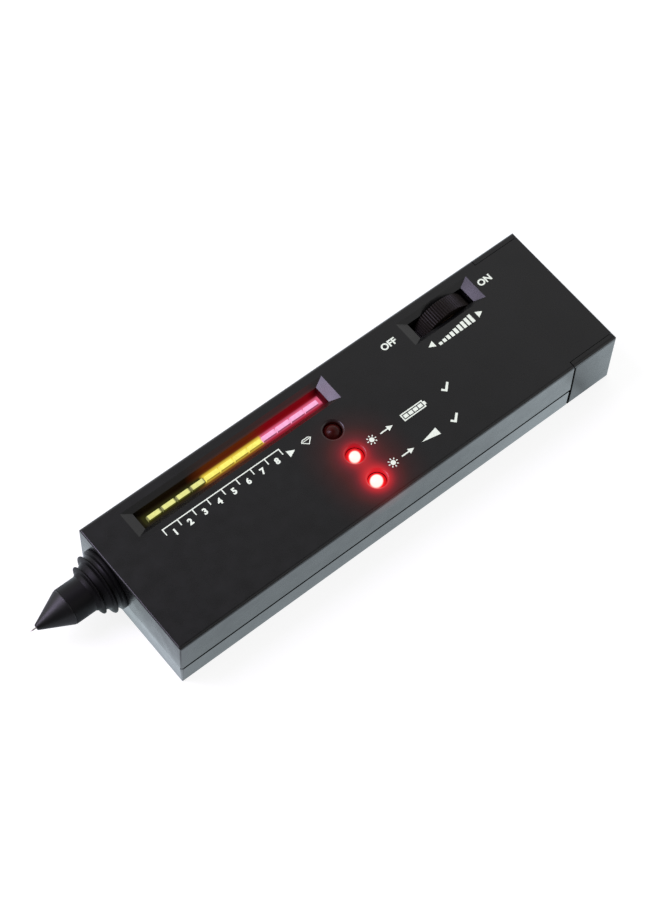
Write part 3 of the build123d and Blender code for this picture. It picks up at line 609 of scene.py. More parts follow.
class TESTER_OT_case(bpy.types.Operator):
    """Make the upper case, the lower case and the battery cover, with their moulded edges"""

    bl_idname = "tester.case"
    bl_label = "Case shells"

    def execute(self, context):
        values = context.scene.tester_case
        self.upper(values)
        self.lower(values)
        self.cover(values)
        return {"FINISHED"}

    def plastic(self, values, name, paint, roughness, **sockets):
        """Moulded plastic with the grain that the whole case has."""
        return moulded(name, paint, roughness, values.grain, values.grain_depth, **sockets)

    def upper(self, values):
        paint, roughness = values.upper_colour, values.roughness
        deck = self.plastic(values, "deck_plastic", paint, roughness)
        deck.glow(lamp_halo(deck, values.halo_radius))
        deck.seam((0, 0, seam_z), (0, 0, 1), half_width=0.30 * MM, full=0.5)
        slope = self.plastic(values, "slope_plastic", paint, roughness)
        slope.glow(bar_light(slope, strength=0.75))
        well = self.plastic(values, "well_plastic", paint, roughness=0.5, specular=0.08)
        well.glow(bar_light(well, strength=1.0))
        bm = merged_copy("top_shell")
        for node in ("alert_lamp",) + lit_lamps:
            self.round_rim(bm, middle(node).xy)
        round_edges(bm, values.edge_round)
        self.light_well(bm)
        piece("upper_case", bm, [deck, slope, well], "case", ["top_shell"])

    def lower(self, values):
        shine, below_seam = 0.62, 0.22 * MM
        finish = self.plastic(
            values, "lower_plastic", values.lower_colour, values.roughness - 0.03, specular=shine,
        )
        on_seam = (0, 0, seam_z - below_seam)
        finish.seam(on_seam, (0, 0, 1), half_width=0.28 * MM, full=shine)
        bm = merged_copy("bottom_shell")
        round_edges(bm, values.edge_round)
        piece("lower_case", bm, [finish], "case", ["bottom_shell"])

    def cover(self, values):
        shine, upward = 0.12, 0.25
        side = self.plastic(
            values, "cover_plastic", values.lower_colour, values.roughness - 0.02, specular=shine,
        )
        side.seam((cover_front, 0, 0), (1, 0, 0), half_width=0.42 * MM, full=shine)
        paint = values.upper_colour
        ledge = self.plastic(values, "cover_edge_plastic", paint, values.roughness)
        bm = merged_copy("battery_cover")
        round_edges(bm, values.edge_round)
        for face in bm.faces:
            face.material_index = 1 if face.normal.z > upward else 0
        piece("rear_cover", bm, [side, ledge], "cover", ["battery_cover"])

    def round_rim(self, bm, centre):
        """Rounds the rim of a lamp's hole in the deck."""
        depth, reach, width, segments = 0.05 * MM, 3.3 * MM, 0.24 * MM, 4

        def on_rim(corner):
            return corner.co.z > deck_z - depth and (corner.co.xy - centre).length < reach

        rim = [e for e in bm.edges if all(on_rim(v) for v in e.verts)]
        round_edges(bm, width, segments, rim)

    def light_well(self, bm):
        """The walls of the display window take the bar's light."""
        x_gap, y_gap = 6.2 * MM, 4.3 * MM
        lowest, slope_foot, slope_top = 16.0 * MM, deck_z - 1.25 * MM, deck_z - 0.03 * MM
        for face in bm.faces:
            spot = face.calc_center_median()
            inside = bar_low.x - x_gap < spot.x < bar_high.x + x_gap
            inside = inside and abs(spot.y - bar_y) < y_gap
            if inside and lowest < spot.z < slope_top:
                face.material_index = 2 if spot.z < slope_foot else 1


# Nose


class TESTER_OT_nose(bpy.types.Operator):
    """Make the ringed collar, the cone, the needle and the return spring"""

    bl_idname = "tester.nose"
    bl_label = "Nose"

    # Ring outline: share of the ringed length from the case, share of the flange radius
    rings = (
        (0.0, 1.0), (0.13, 1.0), (0.19, 0.90), (0.33, 0.88), (0.39, 0.97), (0.435, 0.97),
        (0.48, 0.81), (0.53, 0.78), (0.70, 0.71), (0.76, 0.80), (0.80, 0.80), (0.85, 0.65),
    )

    def execute(self, context):
        values = context.scene.tester_nose
        self.collar(values)
        self.cone(values)
        self.needle(values)
        self.spring(values)
        return {"FINISHED"}

    def turned(self, values, outline, closed=True):
        """Outline of (along, radius) points turned about the probe's axis."""
        points = [(along, probe_y, probe_z + radius) for along, radius in outline]
        return spun(points, values.steps, (0, probe_y, probe_z), (1, 0, 0), closed)

    def collar(self, values):
        low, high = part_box("probe_collar")
        neck_start = case_front - values.ringed_length
        socket_end = low.x + values.socket_depth
        outline = [
            (low.x, values.socket_radius), (low.x, values.neck_radius),
            (neck_start, values.neck_radius),
        ]
        for along, radius in reversed(self.rings):
            place = case_front - along * values.ringed_length
            outline.append((place, radius * values.flange_radius))
        outline += [
            (case_front, values.shank_radius), (high.x, values.shank_radius),
            (high.x, values.bore_radius), (socket_end, values.bore_radius),
            (socket_end, values.socket_radius),
        ]
        bm = self.turned(values, outline)
        round_edges(bm, values.ring_round, 2, corner_edges(bm, RING_ANGLE))
        finish = moulded(
            "collar_plastic", values.collar_colour, roughness=0.45, grain=0.2 * MM,
            depth=0.003 * MM, specular=0.20,
        )
        tool_lines = finish.noise(0.16 * MM, 2.0, stretch=(1.0, 0.06, 0.06))
        finish.bump(tool_lines, 0.003 * MM)
        piece("nose_collar", bm, [finish], "case", ["probe_collar"])

    def cone(self, values):
        low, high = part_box("probe_cone")
        edge_round = 0.12 * MM
        base = low.x + values.cone_length
        chamber = low.x + values.chamber_start
        bm = self.turned(values, [
            (low.x, values.hole_radius), (low.x, values.cone_tip_radius),
            (base - values.cone_shoulder, values.cone_base_radius),
            (base, values.cone_base_radius), (base, values.spigot_radius),
            (high.x, values.spigot_radius), (high.x, values.chamber_radius),
            (chamber, values.chamber_radius), (chamber, values.hole_radius),
        ])
        round_edges(bm, edge_round, 3, corner_edges(bm, RING_ANGLE))
        finish = moulded(
            "cone_plastic", values.cone_colour, roughness=0.36, grain=0.5 * MM, depth=0.0015 * MM,
        )
        piece("nose_cone", bm, [finish], "case", ["probe_cone"])

    def needle(self, values):
        low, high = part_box("probe_needle")
        radius = (high.y - low.y) / 2
        blunt_start, blunt_end, blunt_share = 0.03 * MM, 0.09 * MM, 0.7
        bm = self.turned(values, [
            (low.x, 0.0), (low.x + blunt_start, blunt_share * values.point_radius),
            (low.x + blunt_end, values.point_radius), (low.x + values.point_length, radius),
            (high.x, radius), (high.x, 0.0),
        ], closed=False)
        finish = turned_metal(
            "needle_metal", (0.60, 0.55, 0.48), roughness=0.24, stretch=(0.12, 1, 1),
            grain=0.08 * MM, depth=0.001 * MM,
        )
        piece("needle", bm, [finish], "needle", ["probe_needle"])

    def spring(self, values):
        low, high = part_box("probe_spring")
        wire, turns = values.wire_radius, values.spring_turns
        wire_sides, steps_per_turn = 10, 20
        coil = (high.y - low.y) / 2 - wire
        pitch = (high.x - low.x - 2 * wire) / turns
        bm = bmesh.new()
        start = Matrix.Translation((low.x + wire, probe_y, probe_z + coil))
        start = start @ Matrix.Rotation(math.pi / 2, 4, "X")
        bmesh.ops.create_circle(bm, segments=wire_sides, radius=wire, matrix=start)
        bmesh.ops.spin(
            bm, geom=list(bm.edges), cent=(0, probe_y, probe_z), axis=(1, 0, 0),
            angle=FULL_TURN * turns, dvec=(pitch / steps_per_turn, 0, 0),
            steps=steps_per_turn * turns, use_merge=False,
        )
        bmesh.ops.holes_fill(bm, edges=[e for e in bm.edges if e.is_boundary], sides=0)
        bmesh.ops.recalc_face_normals(bm, faces=bm.faces)
        finish = turned_metal(
            "spring_steel", (0.52, 0.52, 0.54), roughness=0.22, grain=0.1 * MM, depth=0.001 * MM,
        )
        made = piece(
            "return_spring", bm, [finish], "case", ["probe_spring"],
            weighted=False,
        )
        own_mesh(made)


# Thumb wheel


class TESTER_OT_wheel(bpy.types.Operator):
    """Make the ribbed volume thumb wheel"""

    bl_idname = "tester.wheel"
    bl_label = "Thumb wheel"

    def execute(self, context):
        values = context.scene.tester_wheel
        bm = merged_copy("thumb_wheel")
        round_edges(bm, values.edge_round)
        finish = moulded(
            "wheel_plastic", values.colour, values.roughness, grain=0.2 * MM, depth=0.003 * MM,
            specular=0.16,
        )
        piece("volume_wheel", bm, [finish], "volume_wheel", ["thumb_wheel"])
        return {"FINISHED"}


# Lights


class TESTER_OT_light_bar(bpy.types.Operator):
    """Make the twelve light segments and dress their holder"""

    bl_idname = "tester.light_bar"
    bl_label = "Light bar"

    def execute(self, context):
        values = context.scene.tester_light
        for name in ("green", "yellow", "red"):
            self.segments(values, name, getattr(values, name), getattr(values, name + "_edge"))
        holder = moulded(
            "holder_plastic", grey(0.006), roughness=0.5, grain=0.2 * MM, depth=0.004 * MM,
            specular=0.08,
        )
        holder.glow(bar_light(holder, strength=1.0, between=True))
        dress(holder, "light_holder")
        self.mask()
        return {"FINISHED"}

    def mask(self):
        """Thin mask that closes the gap between the holder and the window."""
        low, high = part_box("light_holder")
        gap, below, above = 0.02 * MM, 0.35 * MM, 0.34 * MM
        front, rear = window_front + gap, window_rear - gap
        near, far = bar_y - window_half_width + gap, bar_y + window_half_width - gap
        bm = bmesh.new()
        for x0, x1, y0, y1 in (
            (front, low.x - gap, near, far), (high.x + gap, rear, near, far),
            (low.x, high.x, near, low.y - gap), (low.x, high.x, high.y + gap, far),
        ):
            block(bm, (x0, y0, high.z - below), (x1, y1, high.z + above))
        finish = moulded(
            "mask_felt", grey(0.006), roughness=0.8, grain=0.25 * MM, depth=0.02 * MM,
            specular=0.05,
        )
        finish.glow(bar_light(finish, strength=1.0))
        piece("light_mask", bm, [finish], "case")

    def segments(self, values, name, core, edge):
        low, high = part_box("segments_" + name)
        spacing = (high.x - low.x + values.segment_gap) / values.segments_per_colour
        bm = bmesh.new()
        for place in range(values.segments_per_colour):
            start = low.x + spacing * place
            corner = (start + spacing - values.segment_gap, high.y, high.z)
            block(bm, (start, low.y, low.z), corner, values.segment_round, 3)
        finish = Finish(name + "_diffuser", roughness=0.42)
        finish.bump(finish.noise(0.15 * MM, 2.0), 0.002 * MM)
        half = (high.y - low.y) / 2
        aside = finish.fit(finish.distance((0, bar_y, 0), (0, 1, 0)), 0.25 * half, half)
        paint = finish.ramp(
            aside, [(0.0, core), (0.92, shaded(core, 0.95)), (0.98, shaded(edge, 0.36))],
        )
        start = low.x - values.segment_gap / 2
        beat = finish.fit(finish.along("X"), start, start + 0.5 * spacing, clamp=False)
        beat = finish.sum("PINGPONG", beat, 1.0)
        dull = values.end_glow if name == "green" else 0.92
        dim_ends = finish.ramp(beat, [(0.16, grey(dull)), (0.28, WHITE), (1.0, WHITE)])
        paint = finish.mix(1.0, paint, dim_ends, "MULTIPLY")
        cloud = finish.ramp(finish.noise(0.9 * MM), [(0.35, grey(0.86)), (0.6, WHITE)])
        finish.glow(finish.mix(1.0, paint, cloud, "MULTIPLY"))
        finish.paint(finish.mix(0.9, paint, BLACK))
        piece("light_" + name, bm, [finish], "case", ["segments_" + name])


class TESTER_OT_lamps(bpy.types.Operator):
    """Make the three round lamps, one dark and two lit"""

    bl_idname = "tester.lamps"
    bl_label = "Round lamps"

    # Piece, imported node, share of the core radius, and the core's shift in millimetres
    lit_marks = (
        ("lamp_battery", "battery_lamp", 1.0, (-0.46, -0.50)),
        ("lamp_ready", "ready_lamp", 1.12, (-0.50, -0.28)),
    )

    def execute(self, context):
        values = context.scene.tester_light
        dark = Finish("lamp_dark", roughness=0.22, specular=0.14)
        cloud = dark.noise(1.6 * MM)
        dull = shaded(values.lamp_dark, 0.6)
        dark.paint(dark.ramp(cloud, [(0.3, dull), (0.7, values.lamp_dark)]))
        dark.bump(cloud, 0.002 * MM)
        self.lamp(values, "lamp_off", "alert_lamp", dark, "lamp_off")
        for name, node, core, shift in self.lit_marks:
            centre = middle(node) + Vector((shift[0] * MM, shift[1] * MM, 0))
            self.lamp(values, name, node, self.lit(values, name, centre, core), "lamp_lit")
        return {"FINISHED"}

    def lit(self, values, name, centre, core):
        """Glowing red with a white core round the centre."""
        finish = Finish(name + "_glow", roughness=0.12)
        red = tuple(values.lamp_red)
        aside = finish.fit(finish.distance(centre, (1, 1, 0)), 0.0, values.lamp_radius)
        edge = core * values.core_radius / values.lamp_radius
        finish.glow(finish.ramp(aside, [
            (0.0, (1.0, 0.99, 0.95)), (edge - 0.07, (1.0, 0.95, 0.88)), (edge, (1.0, 0.42, 0.36)),
            (edge + 0.06, red), (edge + 0.24, shaded(red, 0.62)), (1.0, shaded(red, 0.5)),
        ]))
        reds = [(0.3, (0.10, 0.004, 0.004)), (0.7, (0.16, 0.006, 0.006))]
        finish.paint(finish.ramp(finish.noise(1.2 * MM), reds))
        return finish

    def lamp(self, values, name, node, finish, slot):
        """A flange and a cylinder with a round crown, turned about the lamp's own axis."""
        low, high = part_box(node)
        arc_steps, turning_steps, swell = 14, 64, 0.07 * MM
        centre = (low + high) / 2
        flange = (high.x - low.x) / 2
        radius = values.lamp_radius + swell
        shoulder = low.z + values.flange_height
        crown = high.z - radius
        outline = [(0.0, low.z), (flange, low.z), (flange, shoulder), (radius, shoulder)]
        for step in range(arc_steps):
            turn = 0.25 * FULL_TURN * step / arc_steps
            outline.append((radius * math.cos(turn), crown + radius * math.sin(turn)))
        outline.append((0.0, crown + radius))
        points = [(centre.x + along, centre.y, up) for along, up in outline]
        bm = spun(points, turning_steps, (centre.x, centre.y, 0), (0, 0, 1), closed=False)
        piece(name, bm, [finish], "case", [node])


# Printed marks


class TESTER_OT_legend(bpy.types.Operator):
    """Print the scale, the on and off words and the picture marks on the deck"""

    bl_idname = "tester.legend"
    bl_label = "Printed marks"

    # Places on the deck in millimetres: behind the case front, off its middle line
    on_place, off_place, gem_place = (130.1, 14.2), (97.0, 14.7), (61.6, 5.3)
    battery_place, ready_place = (75.1, -4.85), (75.2, -13.45)
    scale_arrow = ((55.4, 6.3), (55.4, 4.1), (57.6, 5.2))
    quiet_arrow = ((106.6, 8.4), (106.6, 6.3), (104.7, 7.35))
    loud_arrow = ((121.4, 8.2), (121.4, 6.1), (123.3, 7.15))

    # Corners in millimetres from a mark's own place, and the lines of the ones with only a rim
    gem = ((-0.95, 0.95), (0.95, 0.95), (1.65, 0.3), (0, -1.2), (-1.65, 0.3))
    gem_girdle = ((-1.1, 0.2), (1.1, 0.40))
    arrow_shaft = ((2.9, -0.19), (5.3, 0.19))
    arrow_head = ((5.3, 0.85), (5.3, -0.85), (7.0, 0))
    tick = (
        (-1.55, 0.05), (-1.05, 0.50), (-0.45, -0.25), (1.25, 1.30), (1.70, 0.85), (-0.40, -1.15),
    )
    can = ((-3.7, -1.15), (3.7, -1.15), (3.7, 1.15), (-3.7, 1.15))
    can_tip = ((3.7, -0.5), (4.2, 0.5))
    wedge = ((2.6, 1.15), (2.6, -1.15), (-1.2, -0.34), (-2.9, 0), (-1.2, 0.34))
    gem_line, can_line = 0.24, 0.34

    def execute(self, context):
        values = context.scene.tester_legend
        self.thickness = values.thickness
        bm = bmesh.new()
        self.scale(bm, values)
        self.words(bm, "ON", self.on_place, values.word_height)
        self.words(bm, "OFF", self.off_place, values.word_height)
        self.volume_mark(bm)
        self.solid(bm, self.gem, self.gem_place, self.gem_line)
        self.bar(bm, *self.gem_girdle, self.gem_place)
        self.lamp_marks(bm)
        ink = Finish("printed_ink", roughness=0.55)
        wear_and_glow = ink.noise(0.5 * MM, 4.0)
        ink.paint(ink.ramp(wear_and_glow, [(0.28, shaded(values.ink, 0.78)), (0.45, values.ink)]))
        # The ink also glows faintly: painted light that makes the print read brighter, most where it
        # is least worn.
        ink.glow(ink.ramp(wear_and_glow, [(0.28, (0.10, 0.12, 0.08)), (0.45, (0.16, 0.18, 0.13))]))
        ink.bump(ink.noise(0.12 * MM, 2.0), 0.002 * MM)
        piece("printed_marks", bm, [ink], "case")
        return {"FINISHED"}

    def at(self, x, y):
        """Point of the deck, from millimetres behind the case front and off its middle line."""
        return Vector((case_front + x * MM, y * MM, deck_z))

    def solid(self, bm, corners, place=(0, 0), line=0.0):
        """A printed shape from its corners, or only its rim when a line width is given."""
        spots = [self.at(place[0] + x, place[1] + y) for x, y in corners]
        face = bm.faces.new([bm.verts.new(spot) for spot in spots])
        face.normal_update()
        faces = [face]
        if line:
            faces = bmesh.ops.inset_region(
                bm, faces=[face], thickness=line * MM, use_boundary=True, use_even_offset=True,
            )["faces"]
            bmesh.ops.delete(bm, geom=[face], context="FACES_ONLY")
        bmesh.ops.recalc_face_normals(bm, faces=faces)
        if faces[0].normal.z < 0:
            bmesh.ops.reverse_faces(bm, faces=faces)
        made = bmesh.ops.extrude_face_region(bm, geom=faces)
        raised = [v for v in made["geom"] if isinstance(v, bmesh.types.BMVert)]
        bmesh.ops.translate(bm, verts=raised, vec=(0, 0, self.thickness))

    def bar(self, bm, low, high, place=(0, 0)):
        """A printed bar between two corners."""
        self.solid(bm, (low, (high[0], low[1]), high, (low[0], high[1])), place)

    def words(self, bm, text, place, height, bold=0.034):
        """Generic lettering, read along X, with its middle at the place given."""
        curve = bpy.data.curves.new("lettering", "FONT")
        curve.body = text
        curve.offset = bold
        curve.extrude = 0.5
        curve.resolution_u = 5
        holder = bpy.data.objects.new("lettering", curve)
        bpy.context.scene.collection.objects.link(holder)
        mesh = bpy.data.meshes.new_from_object(holder)
        spots = [v.co for v in mesh.vertices]
        low = Vector([min(s[i] for s in spots) for i in range(3)])
        high = Vector([max(s[i] for s in spots) for i in range(3)])
        grow = height / (high.y - low.y)
        centred = Matrix.Translation(-(low + high) / 2)
        sizing = Matrix.Diagonal((grow, grow, 2 * self.thickness, 1.0))
        mesh.transform(Matrix.Translation(self.at(*place)) @ sizing @ centred)
        letters = bmesh.new()
        letters.from_mesh(mesh)
        bmesh.ops.remove_doubles(letters, verts=letters.verts, dist=MERGE_GAP)
        letters.to_mesh(mesh)
        letters.free()
        bm.from_mesh(mesh)
        bpy.data.objects.remove(holder)
        bpy.data.curves.remove(curve)
        bpy.data.meshes.remove(mesh)

    def scale(self, bm, values):
        """The scale's line with its ticks, its digits and the arrow at its end."""
        line = values.line / MM
        left, right, top, foot = 16.7, 54.3, 8.1, 6.0
        ticks, digit_y, bold = 9, 5.45, 0.045
        step = (right - left) / (ticks - 1)
        self.bar(bm, (left - line / 2, top - line), (right + line / 2, top))
        for place in range(ticks):
            x = left + step * place
            self.bar(bm, (x - line / 2, foot), (x + line / 2, top - line))
        for number in range(1, ticks):
            x = left + step * (number - 0.5)
            self.words(bm, str(number), (x, digit_y), values.digit_height, bold)
        self.solid(bm, self.scale_arrow)

    def volume_mark(self, bm):
        """A wedge of bars that rises towards loud, with an arrow at each end."""
        self.solid(bm, self.quiet_arrow)
        self.solid(bm, self.loud_arrow)
        bars, start, step, width = 9, 107.6, 1.42, 0.98
        foot, lowest, rise = 5.9, 0.85, 0.23
        for place in range(bars):
            x = start + step * place
            self.bar(bm, (x, foot), (x + width, foot + lowest + rise * place))

    def lamp_mark(self, bm, place):
        """A small lamp with its rays, then an arrow."""
        radius, gap, ray, half_ray, rays = 0.72, 0.24, 0.48, 0.15, 8
        sides = 2 * rays
        turns = [FULL_TURN * side / sides for side in range(sides)]
        self.solid(bm, [(radius * math.cos(t), radius * math.sin(t)) for t in turns], place)
        for turn in turns[::2]:
            ahead = Vector((math.cos(turn), math.sin(turn)))
            aside = Vector((-ahead.y, ahead.x)) * half_ray
            near, far = ahead * (radius + gap), ahead * (radius + gap + ray)
            self.solid(bm, (near - aside, far - aside, far + aside, near + aside), place)
        self.bar(bm, *self.arrow_shaft, place)
        self.solid(bm, self.arrow_head, place)

    def lamp_marks(self, bm):
        """What the two lit lamps tell: the battery is good, the tester is ready."""
        can_shift, can_tick_shift, wedge_shift, wedge_tick_shift = 14.0, 11.2, 12.6, 8.4
        cells, cell_step, cell_start, cell_end, half_cell = 4, 1.60, 3.05, 1.75, 0.52
        self.lamp_mark(bm, self.battery_place)
        x, y = self.battery_place[0] + can_shift, self.battery_place[1]
        self.solid(bm, self.can, (x, y), self.can_line)
        self.bar(bm, *self.can_tip, (x, y))
        for place in range(cells):
            start, end = x - cell_start + cell_step * place, x - cell_end + cell_step * place
            self.bar(bm, (start, y - half_cell), (end, y + half_cell))
        self.solid(bm, self.tick, (x + can_tick_shift, y))
        self.lamp_mark(bm, self.ready_place)
        x, y = self.ready_place[0] + wedge_shift, self.ready_place[1]
        self.solid(bm, self.wedge, (x, y))
        self.solid(bm, self.tick, (x + wedge_tick_shift, y))


# Inside


class TESTER_OT_inside(bpy.types.Operator):
    """Make the battery and the foam pad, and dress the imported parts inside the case"""

    bl_idname = "tester.inside"
    bl_label = "Inner parts"

    # Places and colours of the resistors' bands
    resistor_bands = (
        (0.26, (0.20, 0.08, 0.03)), (0.40, (0.01, 0.01, 0.01)), (0.54, (0.45, 0.03, 0.02)),
        (0.70, (0.48, 0.34, 0.10)),
    )

    def execute(self, context):
        values = context.scene.tester_inside
        self.battery(values)
        self.foam(values)
        self.board(values)
        self.small_parts()
        return {"FINISHED"}

    def battery(self, values):
        low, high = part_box("battery")
        lip, edge_round, upright = 0.2 * values.crimp, 0.12 * MM, 0.9
        bm = bmesh.new()
        block(bm, low, high)
        spans = [(e, abs(e.verts[0].co.x - e.verts[1].co.x)) for e in bm.edges]
        round_edges(bm, values.can_round, 8, [e for e, span in spans if span > values.crimp])
        for cap in [f for f in bm.faces if abs(f.normal.x) > upright]:
            for width in (values.crimp, lip):
                bmesh.ops.inset_region(bm, faces=[cap], thickness=width, use_even_offset=True)
            bmesh.ops.translate(bm, verts=list(cap.verts), vec=-cap.normal * values.crimp)
        round_edges(bm, edge_round)
        wrap = Finish("battery_wrap", roughness=0.3)
        along = wrap.fit(wrap.along("X"), low.x, high.x)
        steel, paint = (0.42, 0.42, 0.43), tuple(values.can_colour)
        band = wrap.ramp(along, [
            (0.0, steel), (0.035, paint), (0.20, shaded(paint, 2.6)), (0.225, paint), (0.965, steel),
        ], "CONSTANT")
        scuff = wrap.noise(3 * MM, 6.0)
        wrap.paint(wrap.mix(wrap.fit(scuff, 0.62, 0.75), band, shaded(paint, 1.7)))
        wrap.rough(wrap.fit(scuff, 0.3, 0.7, 0.26, 0.38))
        wrap.bump(wrap.noise(1.2 * MM, 2.0), 0.004 * MM)
        piece("battery_can", bm, [wrap], "case", ["battery"])

    def foam(self, values):
        low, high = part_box("cover_foam")
        cuts, sag, steepness = 7, 0.22, 4
        centre, half = (low + high) / 2, (high - low) / 2
        bm = bmesh.new()
        block(bm, low, high)
        bmesh.ops.subdivide_edges(bm, edges=list(bm.edges), cuts=cuts, use_grid_fill=True)
        for corner in bm.verts:
            aside = (corner.co.y - centre.y) / half.y
            up = (corner.co.z - centre.z) / half.z
            crown = 1 - sag * max(abs(aside), abs(up)) ** steepness
            corner.co.x = high.x + (corner.co.x - high.x) * crown
        round_edges(bm, values.foam_round, 3)
        finish = moulded(
            "open_foam", (0.030, 0.030, 0.033), roughness=0.85, grain=0.35 * MM, depth=0.08 * MM,
            cloud=0.3,
        )
        made = piece("foam_pad", bm, [finish], "cover", ["cover_foam"])

    def board(self, values):
        finish = Finish("board_mask", roughness=0.28, coat=0.3)
        pad, mask = 9 * MM, tuple(values.board_colour)
        traces = finish.add("TexBrick")
        finish.feed(traces.inputs["Vector"], finish.scaled((1 / pad, 1 / pad, 1.0)))
        for name, level in (("Color1", 1.0), ("Color2", 0.8), ("Mortar", 2.1)):
            traces.inputs[name].default_value = (*shaded(mask, level), 1.0)
        traces.inputs["Scale"].default_value = 4.0
        traces.inputs["Mortar Size"].default_value = 0.05
        cloud = finish.fit(finish.noise(6 * MM), 0.3, 0.7, 0.0, 0.35)
        finish.paint(finish.mix(cloud, traces.outputs["Color"], shaded(mask, 0.7)))
        finish.bump(traces.outputs["Fac"], 0.02 * MM)
        dress(finish, "main_board")

    def small_parts(self):
        steel = turned_metal("screw_steel", (0.48, 0.48, 0.50), 0.30)
        dress(steel, "case_screws", "board_screws", "wheel_screw", "pot_spindle")
        brass = turned_metal("brass_turned", (0.70, 0.53, 0.25), 0.27, stretch=(0.3, 1, 1))
        dress(brass, "collar_nut", "needle_plunger", "spring_seat")
        dress(turned_metal("stud_plating", (0.70, 0.70, 0.72), 0.16), "battery_studs")
        dress(turned_metal("leg_tin", (0.62, 0.62, 0.64), 0.34), "chip_legs")
        vinyl = moulded("snap_vinyl", (0.022, 0.022, 0.023), 0.45, grain=0.5 * MM, depth=0.01 * MM)
        dress(vinyl, "battery_snap")
        epoxy = moulded(
            "chip_epoxy", (0.018, 0.018, 0.020), 0.55, grain=0.12 * MM, depth=0.006 * MM,
        )
        dress(epoxy, "chips", "transistors")
        dress(moulded("buzzer_case", grey(0.016), 0.42), "buzzer")
        dress(moulded("spacer_nylon", (0.015, 0.015, 0.016), 0.5), "lamp_spacers")
        laminate = moulded(
            "laminate", (0.11, 0.065, 0.032), 0.5, grain=0.4 * MM, depth=0.01 * MM, cloud=0.3,
        )
        dress(laminate, "volume_pot")
        dress(moulded("trimmer_case", (0.025, 0.105, 0.42), 0.30), "trimmers")
        dress(moulded("heater_bead", (0.74, 0.71, 0.65), 0.22), "heater_element")
        self.sleeves()
        self.resistors()
        self.leads()

    def sleeves(self):
        low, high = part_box("capacitors")
        sleeve, top = (0.018, 0.034, 0.115), (0.45, 0.46, 0.48)
        finish = Finish("capacitor_sleeve", roughness=0.22)
        up = finish.fit(finish.along("Z"), low.z, high.z)
        finish.paint(finish.ramp(up, [(0.0, sleeve), (0.93, sleeve), (0.94, top)], "CONSTANT"))
        finish.bump(finish.noise(0.8 * MM), 0.005 * MM)
        dress(finish, "capacitors")

    def resistors(self):
        low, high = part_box("resistors")
        body, band_width = (0.52, 0.39, 0.23), 0.06
        finish = Finish("resistor_body", roughness=0.4)
        along = finish.fit(finish.along("Y"), low.y, high.y)
        bands = [(0.0, body)]
        for place, paint in self.resistor_bands:
            bands += [(place, paint), (place + band_width, body)]
        bands.append((1.0, body))
        finish.paint(finish.ramp(along, bands, "CONSTANT"))
        finish.bump(finish.noise(0.5 * MM), 0.004 * MM)
        dress(finish, "resistors")

    def leads(self):
        """One lead of each pair is red and the other black, and the wheel's leads are alike."""
        red, black, change = (0.30, 0.012, 0.010), grey(0.014), 0.02 * MM
        for node, line in (("battery_leads", middle("battery_leads").y), ("probe_leads", probe_y)):
            finish = Finish(node + "_cover", roughness=0.42)
            side = finish.fit(finish.along("Y"), line - change, line + change)
            finish.paint(finish.ramp(side, [(0.4, red), (0.6, black)]))
            finish.bump(finish.noise(0.6 * MM), 0.004 * MM)
            dress(finish, node)
        dress(moulded("pot_leads_cover", (0.26, 0.24, 0.05), 0.42), "pot_leads")


# Stage


